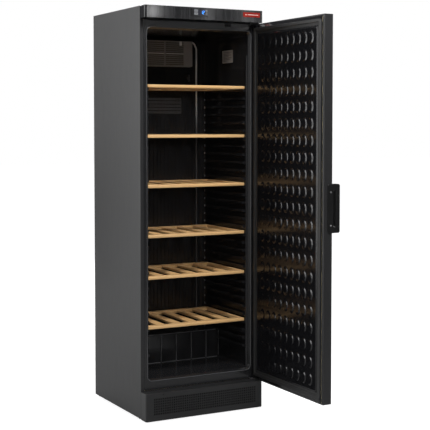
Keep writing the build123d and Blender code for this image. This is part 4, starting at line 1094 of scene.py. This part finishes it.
def buildRotor(node):
    rotor, form = rotorShapes[node], bladeForm
    low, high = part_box(node)
    centre = (low + high) / 2
    reach = min(high.x - low.x, high.z - low.z) / 2 * form["reach"]
    depth = (high.y - low.y) * form["depth"]
    hub, bore, spokes, cells = rotor["hub"], rotor["bore"], form["spokes"], form["cells"]
    points, faces = [], []

    def spot(radius, angle, forward):
        points.append((centre.x + radius * math.cos(angle), centre.y - forward,
                       centre.z + radius * math.sin(angle)))

    profile = [(bore, -depth / 2), (hub * 0.96, -depth / 2), (hub, -depth / 2 + 0.001), (hub, depth * 0.36),
               (hub * 0.93, depth * 0.46), (hub * 0.8, depth / 2), (bore * 1.8, depth / 2),
               (bore, depth * 0.44)]
    for step, (radius, forward) in enumerate(profile):
        for spoke in range(spokes):
            spot(radius, spoke / spokes * fullTurn, forward)
        bridge(faces, (step + 1) % len(profile) * spokes, step * spokes, spokes)
    root, turn = hub * form["root"], fullTurn / rotor["blades"]
    atRoot, outwards, atTip = form["width"]
    for blade in range(rotor["blades"]):
        start = len(points)
        for side in (1, -1):
            for i in range(cells + 1):
                t = i / cells
                width = turn * (atRoot + outwards * t - atTip * t ** 4)
                pitch = depth * (form["pitch"][0] - form["pitch"][1] * t)
                for j in range(cells + 1):
                    s = j / cells - 0.5
                    camber = depth * form["camber"] * (1 - 4 * s * s)
                    thickness = form["thickness"][0] * (1 - (2 * s) ** 4) + form["thickness"][1]
                    spot(root + (reach - root) * t, blade * turn + s * width + form["sweep"] * t * t,
                         s * pitch + camber + side * thickness)
        row, sheetSize = cells + 1, (cells + 1) ** 2
        for i in range(cells):
            for j in range(cells):
                a = start + i * row + j
                faces.append((a, a + 1, a + row + 1, a + row))
                faces.append((a + sheetSize, a + sheetSize + row, a + sheetSize + row + 1, a + sheetSize + 1))
        rim = [i * row for i in range(row)] + [cells * row + j for j in range(1, row)]
        rim += [i * row + cells for i in range(cells - 1, -1, -1)] + list(range(cells - 1, 0, -1))
        for place, here in enumerate(rim):
            there = rim[(place + 1) % len(rim)]
            faces.append((start + here, start + here + sheetSize, start + there + sheetSize, start + there))
    raw = bpy.data.meshes.new("rotorPoints")
    raw.from_pydata(points, [], faces)
    shape = bmesh.new()
    shape.from_mesh(raw)
    bpy.data.meshes.remove(raw)
    piece = addPiece(f"{node}_rotor", shape, "capPlastic", node, 40)
    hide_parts(node)


# Controller: two lit digits behind the window and a printed mark on each key
digitShapes = {
    "height": 0.0135, "width": 0.0066, "stroke": 0.0015, "gap": 0.0026, "right": 0.0042, "slant": 0.08,
    "ends": 0.15,            # of the stroke's width left free at each end of a segment
    "proud": 0.0002, "thickness": 0.0003,
    "degree": {"away": 0.0022, "radius": 0.0011, "sides": 12, "stroke": 0.0006},
    "segments": {"1": "bc", "2": "abged"},
    "shown": "12",
}
segmentLines = {  # each segment runs between two corners of the digit, in halves of its width and height
    "a": ((-1, 1), (1, 1)), "b": ((1, 1), (1, 0)), "c": ((1, 0), (1, -1)), "d": ((-1, -1), (1, -1)),
    "e": ((-1, -1), (-1, 0)), "g": ((-1, 0), (1, 0)),
}


def addSegment(shape, start, end, stroke, front):
    start, end = Vector(start), Vector(end)
    run = (end - start).normalized()
    side, point = Vector((-run.y, run.x)) * stroke / 2, run * stroke / 2
    free = run * stroke * digitShapes["ends"]
    start, end = start + free, end - free
    outline = [start, start + point + side, end - point + side, end, end - point - side, start + point - side]
    addPrism(shape, outline, front, digitShapes["thickness"])


def buildDigits():
    low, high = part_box("controller_display")
    centreZ, front = (low.z + high.z) / 2, low.y - digitShapes["proud"]
    width, height, gap = digitShapes["width"], digitShapes["height"], digitShapes["gap"]
    shape = bmesh.new()
    left = high.x - digitShapes["right"] - len(digitShapes["shown"]) * width - gap
    for place, digit in enumerate(digitShapes["shown"]):
        middle = left + width / 2 + place * (width + gap)
        for segment in digitShapes["segments"][digit]:
            start, end = ((middle + across * width / 2 + up * height / 2 * digitShapes["slant"],
                           centreZ + up * height / 2) for across, up in segmentLines[segment])
            addSegment(shape, start, end, digitShapes["stroke"], front)
    degree = digitShapes["degree"]
    radius, sides = degree["radius"], degree["sides"]
    x, z = left + 2 * width + gap + degree["away"], centreZ + height / 2 - radius
    ring = [(x + radius * a, z + radius * b) for a, b in circleSteps(sides)]
    for place in range(sides):
        addSegment(shape, ring[place], ring[(place + 1) % sides], degree["stroke"], front)
    addPiece("display_digits", shape, "digitBlue", "cabinet", 30)


keyMarks = {  # outlines in millimetres about the key's centre
    "key_up": [[(-2.6, -1.6), (2.6, -1.6), (0, 2.2)]],
    "key_down": [[(-2.6, 1.6), (0, -2.2), (2.6, 1.6)]],
    "key_set": [[(-5.5, -0.5), (-2.5, -0.5), (-2.5, 0.5), (-5.5, 0.5)],
                [(-1.5, -0.5), (1.5, -0.5), (1.5, 0.5), (-1.5, 0.5)],
                [(2.5, -0.5), (5.5, -0.5), (5.5, 0.5), (2.5, 0.5)]],
    "key_light": [[(-1.8, 0.4), (-1.1, -1.6), (1.1, -1.6), (1.8, 0.4), (1.2, 2.0), (-1.2, 2.0)],
                  [(-0.9, -2.7), (0.9, -2.7), (0.9, -2.0), (-0.9, -2.0)]],
}
keyMarkForm = {"proud": 0.00012, "thickness": 0.00032}


def buildKeyMarks():
    for key, outlines in keyMarks.items():
        low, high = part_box(key)
        centre = (low + high) / 2
        shape = bmesh.new()
        for outline in outlines:
            addPrism(shape, [(centre.x + x / 1000, centre.z + z / 1000) for x, z in outline],
                     low.y - keyMarkForm["proud"], keyMarkForm["thickness"])
        addPiece(f"{key}_mark", shape, "iconInk", key, 30)


# Badge: a disc and one plain bar on the red plate
badgeTrim = {"rise": 0.0003, "sunk": 0.0002, "inset": 0.010, "bar": (0.056, 0.0024), "barRadius": 0.0001,
             "dot": 0.0034, "dotTaper": 0.0004, "segments": 40}


def buildBadgeTrim():
    low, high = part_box("badge_plate")
    middle, inset, dot = (low.z + high.z) / 2, badgeTrim["inset"], badgeTrim["dot"]
    front, back = low.y - badgeTrim["rise"], low.y + badgeTrim["sunk"]
    length, tall = badgeTrim["bar"]
    shape = bmesh.new()
    addBar(shape, (high.x - inset - length, front, middle - tall / 2),
           (high.x - inset, back, middle + tall / 2), badgeTrim["barRadius"])
    disc = bmesh.ops.create_cone(shape, cap_ends=True, segments=badgeTrim["segments"], radius1=dot,
                                 radius2=dot - badgeTrim["dotTaper"], depth=back - front)
    place = Matrix.Translation((low.x + inset + dot, (front + back) / 2, middle))
    bmesh.ops.transform(shape, matrix=place @ Matrix.Rotation(fullTurn / 4, 4, "X"), verts=disc["verts"])
    addPiece("badge_trim", shape, "badgeLight", "cabinet", 30)


print("camera and studio")
buildCamera()
buildStudio()
buildFloor()

print("materials")
buildSkinMaterials(buildSkinGroup())
buildMetalMaterials(buildDrawnGroup())
beechGroup = buildBeechGroup()
buildBeech("beechAcross", beechGroup, False)
buildBeech("beechAlong", beechGroup, True)
for buildMaterial in (buildFoamMaterial, buildConduitMaterial, buildDisplayMaterial, buildDigitMaterial,
                      buildBoardMaterial):
    buildMaterial()
finishNodes()

print("shelves")
for shelfNumber in range(1, shelfWood["shelves"] + 1):
    buildShelf(shelfNumber)

print("door")
buildDoorLiner()
buildGasket()

print("liner beads, intake rims, runner tips and grille")
buildLinerBeads()
buildIntakeRims()
buildRunnerTips()
buildPunchedEdges()
buildDustScreen()

print("screws, louvres and fans")
buildScrews()
buildLouvres()
buildCoverTrim()
for rotorNode in rotorShapes:
    buildRotor(rotorNode)

print("controller, badge and rating plate")
buildDigits()
buildKeyMarks()
buildBadgeTrim()
buildPlateRows()
